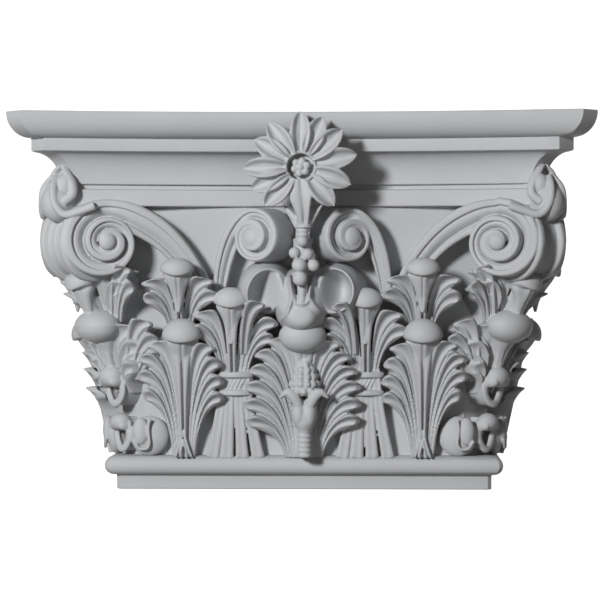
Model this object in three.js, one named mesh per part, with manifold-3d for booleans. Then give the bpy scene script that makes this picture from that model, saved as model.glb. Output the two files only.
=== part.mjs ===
// A Corinthian pilaster capital, cast in one piece: a neck with a torus, a flaring bell dressed with
// fan-shaped leaves whose tips roll over into balls, paired volutes on banded stalks, a flower on its
// stem in the middle, and a moulded abacus with hollow faces and cut corners.
// Millimetres, +Z up, the front faces -Y, and the flat back at +Y stands against the wall.
// The origin is the middle of the underside, where the capital sits on the pilaster's shaft.
import * as THREE from "three";
import { mergeVertices } from "three/addons/utils/BufferGeometryUtils.js";
import Module from "manifold-3d";

const wasm = await Module();
wasm.setup();

// Driving dimensions
const TOP_WIDTH = 610;
const HEIGHT = 397;
const NECK_WIDTH = 400;
const NECK_DEPTH = 110;

// Neck: a plain block, and the torus on it
const NECK_BLOCK_HEIGHT = 15.5;
const TORUS_HEIGHT = 20.5;
const TORUS_REACH = 12;
const TORUS_CORNER = 4;

// Bell: the body that the leaves stand against
const BELL_INSET = 4;
const BELL_FLARE_SHARE = 0.27;
const BELL_FLARE_POWER = 2.2;
const BELL_CORNER_CUT = 26;

// Abacus: its mouldings from the top down, and how far each draws in from the top edge
const OVOLO_HEIGHT = 26.5;
const FILLET_HEIGHT = 13.5;
const FILLET_DROP = 1;
const FILLET_OVERHANG = 3;
const CAVETTO_HEIGHT = 34;
const QUIRK_HEIGHT = 5;
const LIP_HEIGHT = 18;
const OVOLO_INSET = 23;
const CAVETTO_INSET = 50;
const QUIRK_INSET = 56;
const LIP_INSET = 46;
const ABACUS_HOLLOW = 32;
const CORNER_CHAMFER = 16;

// How finely the carving is cut
const RIDGE_STEPS = 3;
const STALK_STEPS = 4;
const BALL_SIDES = 8;
const BALL_RINGS = 4;
const SPIRAL_STEPS_PER_TURN = 10;
const FRONT_ARC_STEPS = 6;
const FACETS = 9900;
const CRUMB_VOLUME = 1;
const FOLD_GAP_SHARE = 0.05;

const NECK_HEIGHT = NECK_BLOCK_HEIGHT + TORUS_HEIGHT;
const ABACUS_HEIGHT = OVOLO_HEIGHT + FILLET_HEIGHT + CAVETTO_HEIGHT + QUIRK_HEIGHT + LIP_HEIGHT;
const BELL_HEIGHT = HEIGHT - ABACUS_HEIGHT - NECK_HEIGHT;
const HALF_NECK = NECK_WIDTH / 2;
const HALF_DEPTH = NECK_DEPTH / 2;
const HALF_TOP = TOP_WIDTH / 2;
const WALL_Y = HALF_DEPTH;
const OVERHANG = HALF_TOP - HALF_NECK;
const FRONT_Y = -HALF_DEPTH - OVERHANG;
const CORNER_AXIS_X = HALF_DEPTH - HALF_NECK;

const UP = new THREE.Vector3(0, 0, 1);
const vec = (x = 0, y = 0, z = 0) => new THREE.Vector3(x, y, z);
const mix = (a, b, t) => a + (b - a) * t;
const clamp01 = (t) => Math.min(1, Math.max(0, t));
const range = (count) => [...Array(count).keys()];

// The carving keeps its places as shares: across the half neck, up the bell, and out over the neck's edge.
const across = (share) => share * HALF_NECK;
const rise = (share) => NECK_HEIGHT + share * BELL_HEIGHT;
const reachOut = (share) => share * OVERHANG;
const flareAt = (z) =>
  reachOut(BELL_FLARE_SHARE) * clamp01((z - NECK_HEIGHT) / BELL_HEIGHT) ** BELL_FLARE_POWER;
const bellOut = (z) => HALF_DEPTH - BELL_INSET + flareAt(z);

// The left half is made once, and these mirrors repeat it on the right and round the two corners.
const asMade = (p) => p;
const mirrored = (p) => vec(-p.x, p.y, p.z);
const aroundCorner = (p) => vec(p.y + CORNER_AXIS_X, p.x - CORNER_AXIS_X, p.z);
const aroundRight = (p) => mirrored(aroundCorner(p));

// A side of the bell that carving is set out on. x runs to the right, and proud is the distance that
// a point stands out from the bell's surface.
function bellSide(originX, direction, surface) {
  const out = direction.clone().normalize();
  const right = UP.clone().cross(out);
  const place = (x, distance, z) =>
    vec(originX, 0, z).addScaledVector(right, x).addScaledVector(out, distance);
  const spot = (x, proud, z) => place(x, surface(x, z) + proud, z);
  const proudOf = (p) => {
    const fromOrigin = vec(p.x - originX, p.y, 0);
    return fromOrigin.dot(out) - surface(fromOrigin.dot(right), p.z);
  };
  return { out, right, place, spot, proudOf };
}
const front = bellSide(0, vec(0, -1, 0), (x, z) => bellOut(z));
const corner = bellSide(CORNER_AXIS_X, vec(-1, -1, 0), (x, z) =>
  bellOut(z) * Math.SQRT2 - Math.max(BELL_CORNER_CUT / Math.SQRT2, Math.abs(x)));

// Bodies

// A closed body through rings of points, each ring with as many points as the others.
function loft(rings) {
  const count = rings[0].length;
  const points = rings.flat();
  const lastStart = points.length - count;
  const faces = [];
  for (let start = 0; start < lastStart; start += count) {
    for (const i of range(count)) {
      const [a, b] = [start + i, start + ((i + 1) % count)];
      faces.push(a, b, b + count, a, b + count, a + count);
    }
  }
  const middleOf = (ring) => ring.reduce((sum, p) => sum.add(p), vec()).divideScalar(count);
  const bottomHub = points.push(middleOf(rings[0])) - 1;
  const topHub = points.push(middleOf(rings.at(-1))) - 1;
  for (const i of range(count)) {
    const next = (i + 1) % count;
    faces.push(bottomHub, next, i, topHub, lastStart + i, lastStart + next);
  }
  const geometry = new THREE.BufferGeometry().setFromPoints(points);
  geometry.setIndex(faces);
  return geometry;
}

// Six times the volume inside the faces, and negative where the faces point inwards.
function signedVolume(position, index) {
  const [a, b, c] = [vec(), vec(), vec()];
  let sum = 0;
  for (let i = 0; i < index.length; i += 3) {
    a.fromBufferAttribute(position, index[i]);
    b.fromBufferAttribute(position, index[i + 1]);
    c.fromBufferAttribute(position, index[i + 2]);
    sum += a.dot(b.cross(c));
  }
  return sum;
}

// A geometry as a solid that can be joined and cut, with a mirror applied to its points.
function solid(geometry, mirror = asMade) {
  const bare = geometry.clone();
  bare.deleteAttribute("normal");
  bare.deleteAttribute("uv");
  const merged = mergeVertices(bare, 1e-3);
  const position = merged.getAttribute("position");
  for (const i of range(position.count)) {
    const p = mirror(vec().fromBufferAttribute(position, i));
    position.setXYZ(i, p.x, p.y, p.z);
  }
  const triVerts = new Uint32Array(merged.index.array);
  if (signedVolume(position, triVerts) < 0) triVerts.reverse();
  return new wasm.Manifold(new wasm.Mesh({ numProp: 3, vertProperties: position.array, triVerts }));
}

const join = (solids) => solids.reduce((whole, next) => whole.add(next));
// The body without the sealed hollows and loose crumbs that the joins leave between the carved forms.
const outerSkin = (body) => body.decompose().reduce((a, b) => (b.volume() > a.volume() ? b : a));

// A section swept along a curve on one side of the bell. Section points are [across, proud], halfWidth and
// depth are functions of the way along, and one more point behind roots the body in the bell.
function ridge(side, curve, section, halfWidth, depth, steps = RIDGE_STEPS) {
  const rings = range(steps + 1).map((i) => {
    const t = i / steps;
    const centre = curve.getPoint(t);
    const along = curve.getTangent(t);
    const sideways = along.clone().cross(side.out).normalize();
    const outward = sideways.clone().cross(along).normalize();
    const ring = section.map(([u, v]) =>
      centre.clone().addScaledVector(sideways, u * halfWidth(t)).addScaledVector(outward, v * depth(t)));
    const root = Math.max(depth(t), side.proudOf(centre) + BELL_INSET);
    return [...ring, centre.addScaledVector(side.out, -root)];
  });
  return loft(rings);
}

// A relief: rows of points in front, each with a point behind it, closed round the edges. Where it wraps,
// each row is a ring.
function relief(rows, behind, wraps = false) {
  const count = rows[0].length;
  const points = [...rows.flat(), ...rows.flat().map(behind)];
  const backStart = points.length / 2;
  const lastRow = backStart - count;
  const faces = [];
  const quad = (a, b, c, d) => faces.push(a, b, c, a, c, d);
  for (const i of range(wraps ? count : count - 1)) {
    const next = (i + 1) % count;
    for (let row = 0; row < lastRow; row += count) {
      quad(row + i, row + next, row + next + count, row + i + count);
      const back = backStart + row;
      quad(back + next, back + i, back + i + count, back + next + count);
    }
    quad(next, i, backStart + i, backStart + next);
    quad(lastRow + i, lastRow + next, backStart + lastRow + next, backStart + lastRow + i);
  }
  if (!wraps) {
    for (let row = 0; row < lastRow; row += count) {
      quad(row, row + count, backStart + row + count, backStart + row);
      const end = row + count - 1;
      quad(end + count, end, backStart + end, backStart + end + count);
    }
  }
  const geometry = new THREE.BufferGeometry().setFromPoints(points);
  geometry.setIndex(faces);
  return geometry;
}

// Closes up the small facets that the joins leave. A corner slides along an edge onto the next corner where
// that adds or takes little volume, turns no facet over and leaves the body closed, until few enough remain.
function closeFacets(position, index, wanted) {
  const points = range(position.length / 3).map((i) => vec().fromArray(position, i * 3));
  const facets = range(index.length / 3).map((i) => [...index.slice(i * 3, i * 3 + 3)]);
  const around = points.map(() => new Set());
  facets.forEach((facet, f) => facet.forEach((p) => around[p].add(f)));
  const normal = (facet) => {
    const [a, b, c] = facet.map((p) => points[p]);
    return b.clone().sub(a).cross(c.clone().sub(a)).divideScalar(2);
  };
  const neighbours = (p) => new Set([...around[p]].flatMap((f) => facets[f]).filter((q) => q !== p));
  const change = (from, to) => {
    const step = points[to].clone().sub(points[from]);
    let volume = 0;
    for (const f of around[from]) {
      const before = normal(facets[f]);
      volume += Math.abs(before.dot(step)) / 3;
      if (facets[f].includes(to)) continue;
      const after = normal(facets[f].map((p) => (p === from ? to : p)));
      if (after.dot(before) < 0.2 * before.length() * after.length()) return Infinity;
    }
    return volume;
  };
  const closes = (from, to) => [...neighbours(from)].filter((p) => neighbours(to).has(p)).length === 2;
  let left = facets.length;
  for (let limit = CRUMB_VOLUME; left > wanted; limit *= 1.6) {
    for (const from of range(points.length)) {
      if (left <= wanted) break;
      let best = [limit, -1];
      for (const to of neighbours(from)) {
        const volume = change(from, to);
        if (volume < best[0] && closes(from, to)) best = [volume, to];
      }
      if (best[1] < 0) continue;
      for (const f of [...around[from]]) {
        if (facets[f].includes(best[1])) {
          facets[f].forEach((p) => around[p].delete(f));
          facets[f] = null;
          left -= 1;
        } else {
          facets[f] = facets[f].map((p) => (p === from ? best[1] : p));
          around[best[1]].add(f);
        }
      }
      around[from].clear();
    }
  }
  const geometry = new THREE.BufferGeometry().setFromPoints(points);
  geometry.setIndex(facets.filter((facet) => facet).flat());
  return geometry;
}

// The finished skin. Where two folds of it touch, the corners of each are drawn a little way back into it.
function partFolds(position, index) {
  const points = range(position.length / 3).map((i) => vec().fromArray(position, i * 3));
  const near = points.map(() => new Set());
  for (let i = 0; i < index.length; i += 3) {
    const facet = [...index.slice(i, i + 3)];
    facet.forEach((p) => facet.forEach((q) => near[p].add(q)));
  }
  const places = new Map();
  points.forEach((point, p) => {
    const place = point.toArray().join();
    places.set(place, [...(places.get(place) ?? []), p]);
  });
  for (const p of [...places.values()].filter((corners) => corners.length > 1).flat()) {
    const middle = [...near[p]].reduce((sum, q) => sum.add(points[q]), vec()).divideScalar(near[p].size);
    points[p].lerp(middle, FOLD_GAP_SHARE);
  }
  const geometry = new THREE.BufferGeometry().setFromPoints(points);
  geometry.setIndex([...index]);
  return geometry;
}

// An ellipsoid, by its half widths across, out and up.
function ball(side, centre, acrossRadius, outRadius, upRadius, sides = BALL_SIDES, rings = BALL_RINGS) {
  const frame = new THREE.Matrix4().makeBasis(
    side.right.clone().multiplyScalar(acrossRadius),
    UP.clone().multiplyScalar(upRadius),
    side.out.clone().multiplyScalar(outRadius),
  );
  return new THREE.SphereGeometry(1, sides, rings).applyMatrix4(frame.setPosition(centre));
}

// A turned body, by its profile of [radius, height] from its foot, standing at a point along a direction.
function turned(profile, foot, direction, sides) {
  const outline = profile.map(([radius, height]) => new THREE.Vector2(radius, height));
  const lean = new THREE.Quaternion().setFromUnitVectors(vec(0, 1, 0), direction.clone().normalize());
  return new THREE.LatheGeometry(outline, sides).applyQuaternion(lean).translate(foot.x, foot.y, foot.z);
}

// Neck, bell and abacus

// A plan with a flat back for the neck and the bell: its half width, its front and its corner cut.
function blockPlan(z, halfWidth, frontOut, cut) {
  const left = [[-halfWidth, WALL_Y], [-halfWidth, cut - frontOut], [cut - halfWidth, -frontOut]];
  const points = left.map(([x, y]) => vec(x, y, z));
  return [...points, ...points.map(mirrored).reverse()];
}

function neck() {
  const radius = TORUS_HEIGHT / 2;
  const levels = [[0, 0], [NECK_BLOCK_HEIGHT, 0]];
  for (const turn of [-0.45, -0.25, 0, 0.25, 0.45]) {
    const angle = turn * Math.PI;
    levels.push([
      NECK_BLOCK_HEIGHT + radius * (1 + Math.sin(angle)),
      TORUS_REACH - radius * (1 - Math.cos(angle)),
    ]);
  }
  levels.push([NECK_HEIGHT, 0]);
  return loft(levels.map(([z, reach]) => blockPlan(z, HALF_NECK + reach, HALF_DEPTH + reach, TORUS_CORNER)));
}

function bell() {
  const ring = (z) =>
    blockPlan(z, HALF_NECK - BELL_INSET + flareAt(z), bellOut(z), BELL_CORNER_CUT);
  const levels = [0, 0.3, 0.55, 0.75, 0.9, 1].map(rise);
  return loft([NECK_HEIGHT - TORUS_HEIGHT / 2, ...levels, rise(1) + LIP_HEIGHT / 2].map(ring));
}

// A plan of the abacus at one height, drawn in from the top edge: straight back, hollow sides and front,
// and cut corners.
function abacusPlan(z, inset) {
  const edge = HALF_TOP - inset;
  const frontY = FRONT_Y + inset;
  const sideLength = WALL_Y - frontY - CORNER_CHAMFER;
  const halfArc = HALF_TOP - CORNER_CHAMFER;
  const hollow = (fromCorner) => ABACUS_HOLLOW * (1 - (1 - fromCorner / halfArc) ** 2);
  const side = [1, 0.5, 0].map((t) => vec(hollow(sideLength * t) - edge, WALL_Y - sideLength * (1 - t), z));
  const arc = range(FRONT_ARC_STEPS + 1).map((i) => {
    const share = 2 * i / FRONT_ARC_STEPS - 1;
    return vec(share * (edge - CORNER_CHAMFER), frontY + ABACUS_HOLLOW * (1 - share ** 2), z);
  });
  return [...side, ...arc, ...side.map(mirrored).reverse()];
}

function abacus() {
  const ovoloFoot = HEIGHT - OVOLO_HEIGHT;
  const filletFoot = ovoloFoot - FILLET_HEIGHT;
  const cavettoFoot = filletFoot - CAVETTO_HEIGHT;
  const lipTop = cavettoFoot - QUIRK_HEIGHT;
  const levels = [
    [lipTop - LIP_HEIGHT, LIP_INSET], [lipTop, LIP_INSET],
    [lipTop + QUIRK_HEIGHT * 0.2, QUIRK_INSET], [cavettoFoot, QUIRK_INSET],
    [cavettoFoot + QUIRK_HEIGHT * 0.2, CAVETTO_INSET],
  ];
  for (const turn of [0.4, 0.7, 1]) {
    const angle = turn * Math.PI / 2;
    levels.push([
      cavettoFoot + (CAVETTO_HEIGHT - FILLET_DROP) * Math.sin(angle),
      mix(CAVETTO_INSET, OVOLO_INSET + FILLET_OVERHANG, 1 - Math.cos(angle)),
    ]);
  }
  levels.push([filletFoot, OVOLO_INSET], [ovoloFoot, OVOLO_INSET]);
  for (const turn of [0.1, 0.45, 0.75, 1]) {
    const angle = turn * Math.PI / 2;
    levels.push([
      ovoloFoot + OVOLO_HEIGHT * (1 - Math.cos(angle)),
      OVOLO_INSET * 0.88 * (1 - Math.sin(angle)),
    ]);
  }
  return loft(levels.map(([z, inset]) => abacusPlan(z, inset)));
}

// Leaves

// Each leaf is set out by shares: its place on the bell, and its parts against its own height. Its lobes
// spread like a fan from beside the stem, the lowest outermost, and the stem's tip rolls over into a ball.
const LOW_LEAF = {
  foot: 0, top: 0.495, lean: 0.325, lobes: 4, lowTip: 0.44, highTip: 0.9, lowReach: 0.31, highReach: 0.28,
  bulge: 0.06, stem: 0.035, rootWidth: 0.027, tipWidth: 0.1, ballWidth: 0.31, ballHeight: 0.21, rows: 3,
};
const leftLowLeaf = { ...LOW_LEAF, x: -0.638 };
const rightLowLeaf = { ...LOW_LEAF, x: 0.632 };
const middleLeaf = {
  ...LOW_LEAF, x: 0, top: 0.49, lean: 0.365, lobes: 5, lowTip: 0.3, highTip: 0.94, lowReach: 0.465,
  highReach: 0.3, ballWidth: 0.39, ballHeight: 0.31,
};
const BETWEEN_LEAF = {
  ...LOW_LEAF, foot: 0.34, top: 0.62, lean: 0.36, lobes: 2, lowTip: 0.6, highTip: 0.83, lowReach: 0.68,
  highReach: 0.53, bulge: 0, stem: 0.07, rootWidth: 0.07, tipWidth: 0.17, ballWidth: 0.48, ballHeight: 0.34,
  rows: 3,
};
const leftBetweenLeaf = { ...BETWEEN_LEAF, x: -0.372 };
const rightBetweenLeaf = { ...BETWEEN_LEAF, x: 0.33 };
const HIGH_LEAF = {
  ...BETWEEN_LEAF, foot: 0.54, top: 0.745, lean: 0.45, lowTip: 0.32, highTip: 0.74, lowReach: 0.66,
  highReach: 0.68, tipWidth: 0.25, ballWidth: 0.63, ballHeight: 0.46,
};
const leftHighLeaf = { ...HIGH_LEAF, x: -0.648 };
const rightHighLeaf = { ...HIGH_LEAF, x: 0.632 };
const cornerLeaf = {
  ...BETWEEN_LEAF, x: 0, foot: 0.3, top: 0.521, lean: 0.34, lowTip: 0.5, highTip: 0.92, lowReach: 0.7,
  highReach: 0.95, tipWidth: 0.28, ballWidth: 0.88, ballHeight: 0.6,
};
const cornerHighLeaf = {
  ...cornerLeaf, foot: 0.53, top: 0.693, lean: 0.48, lowTip: 0.55, highTip: 1.15, lowReach: 1.15,
  highReach: 1.2, tipWidth: 0.33, ballWidth: 0.85, ballHeight: 0.47,
};
const cornerMiddleBud = {
  ...cornerLeaf, rows: 2, foot: 0.17, top: 0.314, lean: 0.22, lobes: 1, lowReach: 0.75, lowTip: 0.6,
  ballWidth: 0.76,
};
const cornerLowBud = {
  ...cornerMiddleBud, foot: 0, top: 0.125, lean: 0.15, ballWidth: 0.66, ballHeight: 0.54,
};

// Each lobe stands up from the gap beside it by this share of the leaf's lean, and a gap ends short of
// the tips.
const GAP_DEPTH = 0.75;
const GAP_LENGTH = 0.82;
// How far the foot of a leaf or a sheaf reaches down into what it stands on.
const FOOT_SINK = 2;

// The curve and half width of a lobe. Rank 0 is the highest lobe, next to the stem, and hand is its side.
function lobe(side, leaf, hand, rank) {
  const size = (leaf.top - leaf.foot) * BELL_HEIGHT;
  const lean = reachOut(leaf.lean);
  const x = across(leaf.x);
  const share = 1 - rank / Math.max(1, leaf.lobes - 1);
  const root = hand * size * (leaf.stem + leaf.rootWidth * (rank + 0.6));
  const reach = mix(leaf.lowReach, leaf.highReach, share) + leaf.bulge * 4 * share * (1 - share);
  const tip = hand * size * reach;
  const rootZ = rise(leaf.foot) - FOOT_SINK;
  const tipZ = rise(leaf.foot) + size * mix(leaf.lowTip, leaf.highTip, share);
  const curve = new THREE.CubicBezierCurve3(
    side.spot(x + root, lean * 0.4, rootZ),
    side.spot(x + root * 1.2, lean * 0.6, mix(rootZ, tipZ, 0.6)),
    side.spot(x + mix(root, tip, 0.5), lean, tipZ + size * 0.05),
    side.spot(x + tip, lean, tipZ - size * 0.03),
  );
  const rootHalf = size * leaf.rootWidth * 0.4;
  const tipHalf = size * leaf.tipWidth * 0.42;
  return { curve, halfWidth: (t) => mix(rootHalf, tipHalf, Math.sin(Math.PI * 0.62 * t)) };
}

function stem(side, leaf) {
  const size = (leaf.top - leaf.foot) * BELL_HEIGHT;
  const lean = reachOut(leaf.lean);
  const x = across(leaf.x);
  const curve = new THREE.CubicBezierCurve3(
    side.spot(x, lean * 0.45, rise(leaf.foot) - FOOT_SINK),
    side.spot(x, lean * 0.7, rise(leaf.foot) + size * 0.4),
    side.spot(x, lean * 0.9, rise(leaf.foot) + size * 0.75),
    side.spot(x, lean * 1.1, rise(leaf.top)),
  );
  return { curve, halfWidth: (t) => size * mix(leaf.stem * 0.8, leaf.ballWidth * 0.36, t ** 3) };
}

// A leaf is a relief of lobes, with two edges to each lobe and a gap between each two.
function fanLeaf(side, leaf) {
  const ranks = range(leaf.lobes);
  const lobes = [
    ...ranks.map((rank) => lobe(side, leaf, -1, rank)).reverse(), stem(side, leaf),
    ...ranks.map((rank) => lobe(side, leaf, 1, rank)),
  ];
  const edge = ({ curve, halfWidth }, t, hand) => {
    const sideways = curve.getTangent(t).cross(side.out).normalize();
    return curve.getPoint(t).addScaledVector(sideways, hand * halfWidth(t));
  };
  const gap = (before, after, t) => {
    const middle = edge(before, t * GAP_LENGTH, 1).lerp(edge(after, t * GAP_LENGTH, -1), 0.5);
    return middle.addScaledVector(side.out, -GAP_DEPTH * Math.max(0, side.proudOf(middle)));
  };
  const rows = range(leaf.rows + 1).map((i) => {
    const t = i / leaf.rows;
    return lobes.flatMap((form, k) =>
      [...(k > 0 ? [gap(lobes[k - 1], form, t)] : []), edge(form, t, -1), edge(form, t, 1)]);
  });
  const size = (leaf.top - leaf.foot) * BELL_HEIGHT;
  const centre = side.spot(across(leaf.x), reachOut(leaf.lean) * 1.1, rise(leaf.top));
  return [
    relief(rows, (p) => p.clone().addScaledVector(side.out, -side.proudOf(p) - BELL_INSET)),
    ball(side, centre, size * leaf.ballWidth / 2, size * leaf.ballWidth * 0.45, size * leaf.ballHeight / 2),
  ];
}

// The round end of the lowest leaf at each corner, beside the low bud.
const CORNER_SCROLL = { x: -0.845, rise: 0.075, halfWidth: 0.15, halfHeight: 20, proud: 4 };

function cornerScroll() {
  const { x, rise: height, halfWidth, halfHeight, proud } = CORNER_SCROLL;
  return ball(front, front.spot(across(x), proud, rise(height)), across(halfWidth), halfHeight, halfHeight);
}

// The tied sheaf under each between leaf: ribs that spread down to the neck, and the tie with its two bars.
const SHEAF = { ribs: 4, spacing: 8, footSpacing: 18.5, proud: 0.13, gap: 0.03, foot: 0, top: 0.345 };
const TIE = { halfLength: 20, foot: 0.235, top: 0.35, proud: 0.22, thickness: 3 };
const TIE_SECTION = [[-1, -1], [-0.9, 1], [-0.4, 1], [-0.35, 0.2], [0.35, 0.2], [0.4, 1], [0.9, 1], [1, -1]];

function sheaf(leaf) {
  const x = across(leaf.x);
  const rows = [0, 0.5, 1].map((t) => {
    const spacing = mix(SHEAF.footSpacing, SHEAF.spacing, t ** 0.6);
    const z = rise(mix(SHEAF.foot, SHEAF.top, t)) - FOOT_SINK;
    return range(SHEAF.ribs * 3 - 1).map((k) => {
      const place = (k + 1) / 3 - SHEAF.ribs / 2;
      const proud = k % 3 === 2 ? SHEAF.gap : SHEAF.proud;
      return front.spot(x + place * spacing, reachOut(proud), z);
    });
  });
  const proud = reachOut(TIE.proud);
  const z = rise((TIE.foot + TIE.top) / 2);
  const band = new THREE.QuadraticBezierCurve3(
    front.spot(x - TIE.halfLength, proud * 0.5, z),
    front.spot(x, proud * 1.2, z),
    front.spot(x + TIE.halfLength, proud * 0.5, z),
  );
  const halfHeight = (TIE.top - TIE.foot) * BELL_HEIGHT / 2;
  return [
    relief(rows, (p) => p.clone().addScaledVector(front.out, -front.proudOf(p) - BELL_INSET)),
    ridge(front, band, TIE_SECTION, () => halfHeight, () => TIE.thickness),
  ];
}

// Volutes

// A volute winds about its centre, and its face is turned from the front by an angle: positive looks
// towards the middle of the capital. Hand is 1 where it winds to the left.
const CORNER_VOLUTE = {
  x: -1.003, z: 0.859, proud: 0.44, turnDeg: 17, hand: 1, radius: 43.5, tightening: 0.124, turns: 2,
  hollow: 7, lift: 8, back: 40, eye: 10.5, eyeRise: 3,
};
const MIDDLE_VOLUTE = {
  x: -0.257, z: 0.859, proud: 0.39, turnDeg: -33, hand: -1, radius: 34.8, tightening: 0.155, turns: 1.6,
  hollow: 5, lift: 4, back: 34, eye: 8.5, eyeRise: 3,
};
const VOLUTE_START_DEG = 80;

function voluteFrame(volute) {
  const turn = THREE.MathUtils.degToRad(volute.turnDeg);
  const out = vec(Math.sin(turn), -Math.cos(turn), 0);
  const centre = front.spot(across(volute.x), reachOut(volute.proud), rise(volute.z));
  return { out, right: UP.clone().cross(out), centre };
}

// The spiral band, in half turns that narrow to the eye. The raised rim runs along its outer edge.
function volute(form) {
  const { out, right, centre } = voluteFrame(form);
  const radiusAt = (angle) => form.radius * Math.exp(-form.tightening * Math.max(0, angle - Math.PI / 2));
  const steps = Math.round(SPIRAL_STEPS_PER_TURN * form.turns);
  const rings = range(steps + 1).map((i) => {
    const angle = 2 * Math.PI * i / SPIRAL_STEPS_PER_TURN;
    const heading = THREE.MathUtils.degToRad(VOLUTE_START_DEG) + angle;
    const outer = radiusAt(angle);
    const inner = radiusAt(angle + 2 * Math.PI) * 0.92;
    const lift = form.lift * i / steps;
    const ray = right.clone().multiplyScalar(form.hand * Math.cos(heading));
    ray.addScaledVector(UP, Math.sin(heading));
    const floor = lift - form.hollow;
    const profile = [[0, -form.back], [0, lift], [0.34, lift], [0.55, floor], [1, floor], [1, -form.back]];
    return profile.map(([u, proud]) =>
      centre.clone().addScaledVector(ray, mix(outer, inner, u)).addScaledVector(out, proud));
  });
  const half = SPIRAL_STEPS_PER_TURN / 2;
  const parts = [];
  for (let i = 0; i < steps; i += half) parts.push(loft(rings.slice(i, i + half + 1)));
  const eyeFoot = centre.clone().addScaledVector(out, form.lift - form.hollow * 2);
  const eye = [[0, 0], [form.eye, 0], [form.eye, form.hollow * 2], [0, form.hollow * 2 + form.eyeRise]];
  parts.push(turned(eye, eyeFoot, out, 8));
  return parts;
}

// The section of a stalk: three bands with grooves between, from the outer edge of the stalk inwards.
const STALK_SECTION = [
  [0, -4], [0.03, 3], [0.28, 3], [0.34, -1], [0.4, 2], [0.7, 2], [0.76, -3], [1, -2], [1, -8],
];
const STALK_WIDTH = 29;
const STALK_FOOT = { x: -0.465, z: 0.655, proud: 0.24 };

// Both volutes of one half grow on stalks from one foot.
function stalk(form, width, nearFoot, nearTop) {
  const { centre } = voluteFrame(form);
  const top = centre.addScaledVector(UP, form.radius);
  const foot = front.spot(across(STALK_FOOT.x), reachOut(STALK_FOOT.proud), rise(STALK_FOOT.z));
  const between = (shareX, shareY, shareZ) =>
    vec(mix(foot.x, top.x, shareX), mix(foot.y, top.y, shareY), mix(foot.z, top.z, shareZ));
  const edge = new THREE.CubicBezierCurve3(foot, between(...nearFoot), between(...nearTop), top);
  const rings = range(STALK_STEPS + 1).map((i) => {
    const t = i / STALK_STEPS;
    const inward = edge.getTangent(t).cross(front.out).normalize().multiplyScalar(-form.hand);
    const spread = width * mix(0.42, 1, clamp01(t * 2));
    const ring = STALK_SECTION.map(([u, v]) =>
      edge.getPoint(t).addScaledVector(inward, u * spread).addScaledVector(front.out, v));
    const middle = edge.getPoint(t).addScaledVector(inward, spread / 2);
    return [...ring, middle.addScaledVector(front.out, -front.proudOf(middle) - BELL_INSET)];
  });
  return loft(rings);
}
const cornerStalk = () => stalk(CORNER_VOLUTE, STALK_WIDTH, [0.17, 0.3, 0.47], [0.51, 0.8, 1.01]);
const middleStalk = () => stalk(MIDDLE_VOLUTE, STALK_WIDTH * 0.66, [-0.02, 0.3, 0.43], [0.3, 0.8, 1]);

// The spool at the corner carries the backs of the front volute and the side one.
const SPOOL = { reach: 0.31, drawIn: 1.5, halfLength: 20.5, rim: 6, waist: 0.86, sides: 14 };

function cornerSpool() {
  const distance = HALF_DEPTH * Math.SQRT2 + reachOut(SPOOL.reach) * Math.SQRT2;
  const middle = corner.place(0, distance, rise(CORNER_VOLUTE.z));
  const radius = CORNER_VOLUTE.radius - SPOOL.drawIn;
  const half = SPOOL.halfLength;
  const profile = [
    [0, -half], [radius, -half], [radius, SPOOL.rim - half], [radius * SPOOL.waist, SPOOL.rim * 1.6 - half],
    [radius * SPOOL.waist, half - SPOOL.rim * 1.6], [radius, half - SPOOL.rim], [radius, half], [0, half],
  ];
  return turned(profile, middle, corner.right, SPOOL.sides);
}

// The folded leaf on the spool, that holds up the corner of the abacus.
const TONGUE = { reach: 0.5, foot: -16, top: 38, halfWidth: 19, thickness: 22 };
const TONGUE_SECTION = [[-1, -0.3], [-0.7, 0.5], [0, 0.8], [0.7, 0.5], [1, -0.3]];

function cornerTongue() {
  const at = (reach, height) =>
    corner.place(0, (HALF_DEPTH + reachOut(reach)) * Math.SQRT2, rise(1) + height);
  const curve = new THREE.QuadraticBezierCurve3(
    at(TONGUE.reach, TONGUE.foot), at(TONGUE.reach * 1.3, 0), at(TONGUE.reach * 1.02, TONGUE.top),
  );
  const halfWidth = (t) => TONGUE.halfWidth * Math.sin(Math.PI * mix(0.25, 0.93, t));
  return ridge(corner, curve, TONGUE_SECTION, halfWidth, () => TONGUE.thickness);
}

// The middle: flower, beads, horns and bud

const FLOWER = {
  drop: 58.5, proud: 20, radius: 56, petals: 12, notch: 0.66, rise: 9, hollow: 5, heart: 12, back: 40,
};

function flower() {
  const arcY = FRONT_Y + ABACUS_HOLLOW;
  const middle = vec(0, arcY - FLOWER.proud, HEIGHT - FLOWER.drop);
  const rows = [[0.2, 0], [0.6, 1], [1, -0.2]].map(([share, proud]) =>
    range(FLOWER.petals * 2).map((k) => {
      const heading = Math.PI * k / FLOWER.petals - Math.PI / 2;
      const isGap = k % 2 === 1;
      const reach = FLOWER.radius * share * (isGap ? FLOWER.notch : 1);
      const height = proud * FLOWER.rise - (isGap ? FLOWER.hollow * share : 0);
      const ray = vec(Math.cos(heading), 0, Math.sin(heading));
      return middle.clone().addScaledVector(ray, reach).addScaledVector(front.out, height);
    }));
  const thickness = FLOWER.rise;
  const core = [[0, 0], [FLOWER.radius * 0.5, 0], [FLOWER.radius * 0.4, FLOWER.back], [0, FLOWER.back]];
  const heart = middle.clone().addScaledVector(front.out, FLOWER.rise / 2);
  return [
    relief(rows, (p) => p.clone().addScaledVector(front.out, -thickness), true),
    turned(core, middle.clone().addScaledVector(front.out, -FLOWER.back), front.out, 8),
    ball(front, heart, FLOWER.heart, FLOWER.heart * 0.7, FLOWER.heart),
  ];
}

// A round body's section, for stems.
const ROUND_SECTION = [[-1, 0], [0, 1], [1, 0]];

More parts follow.
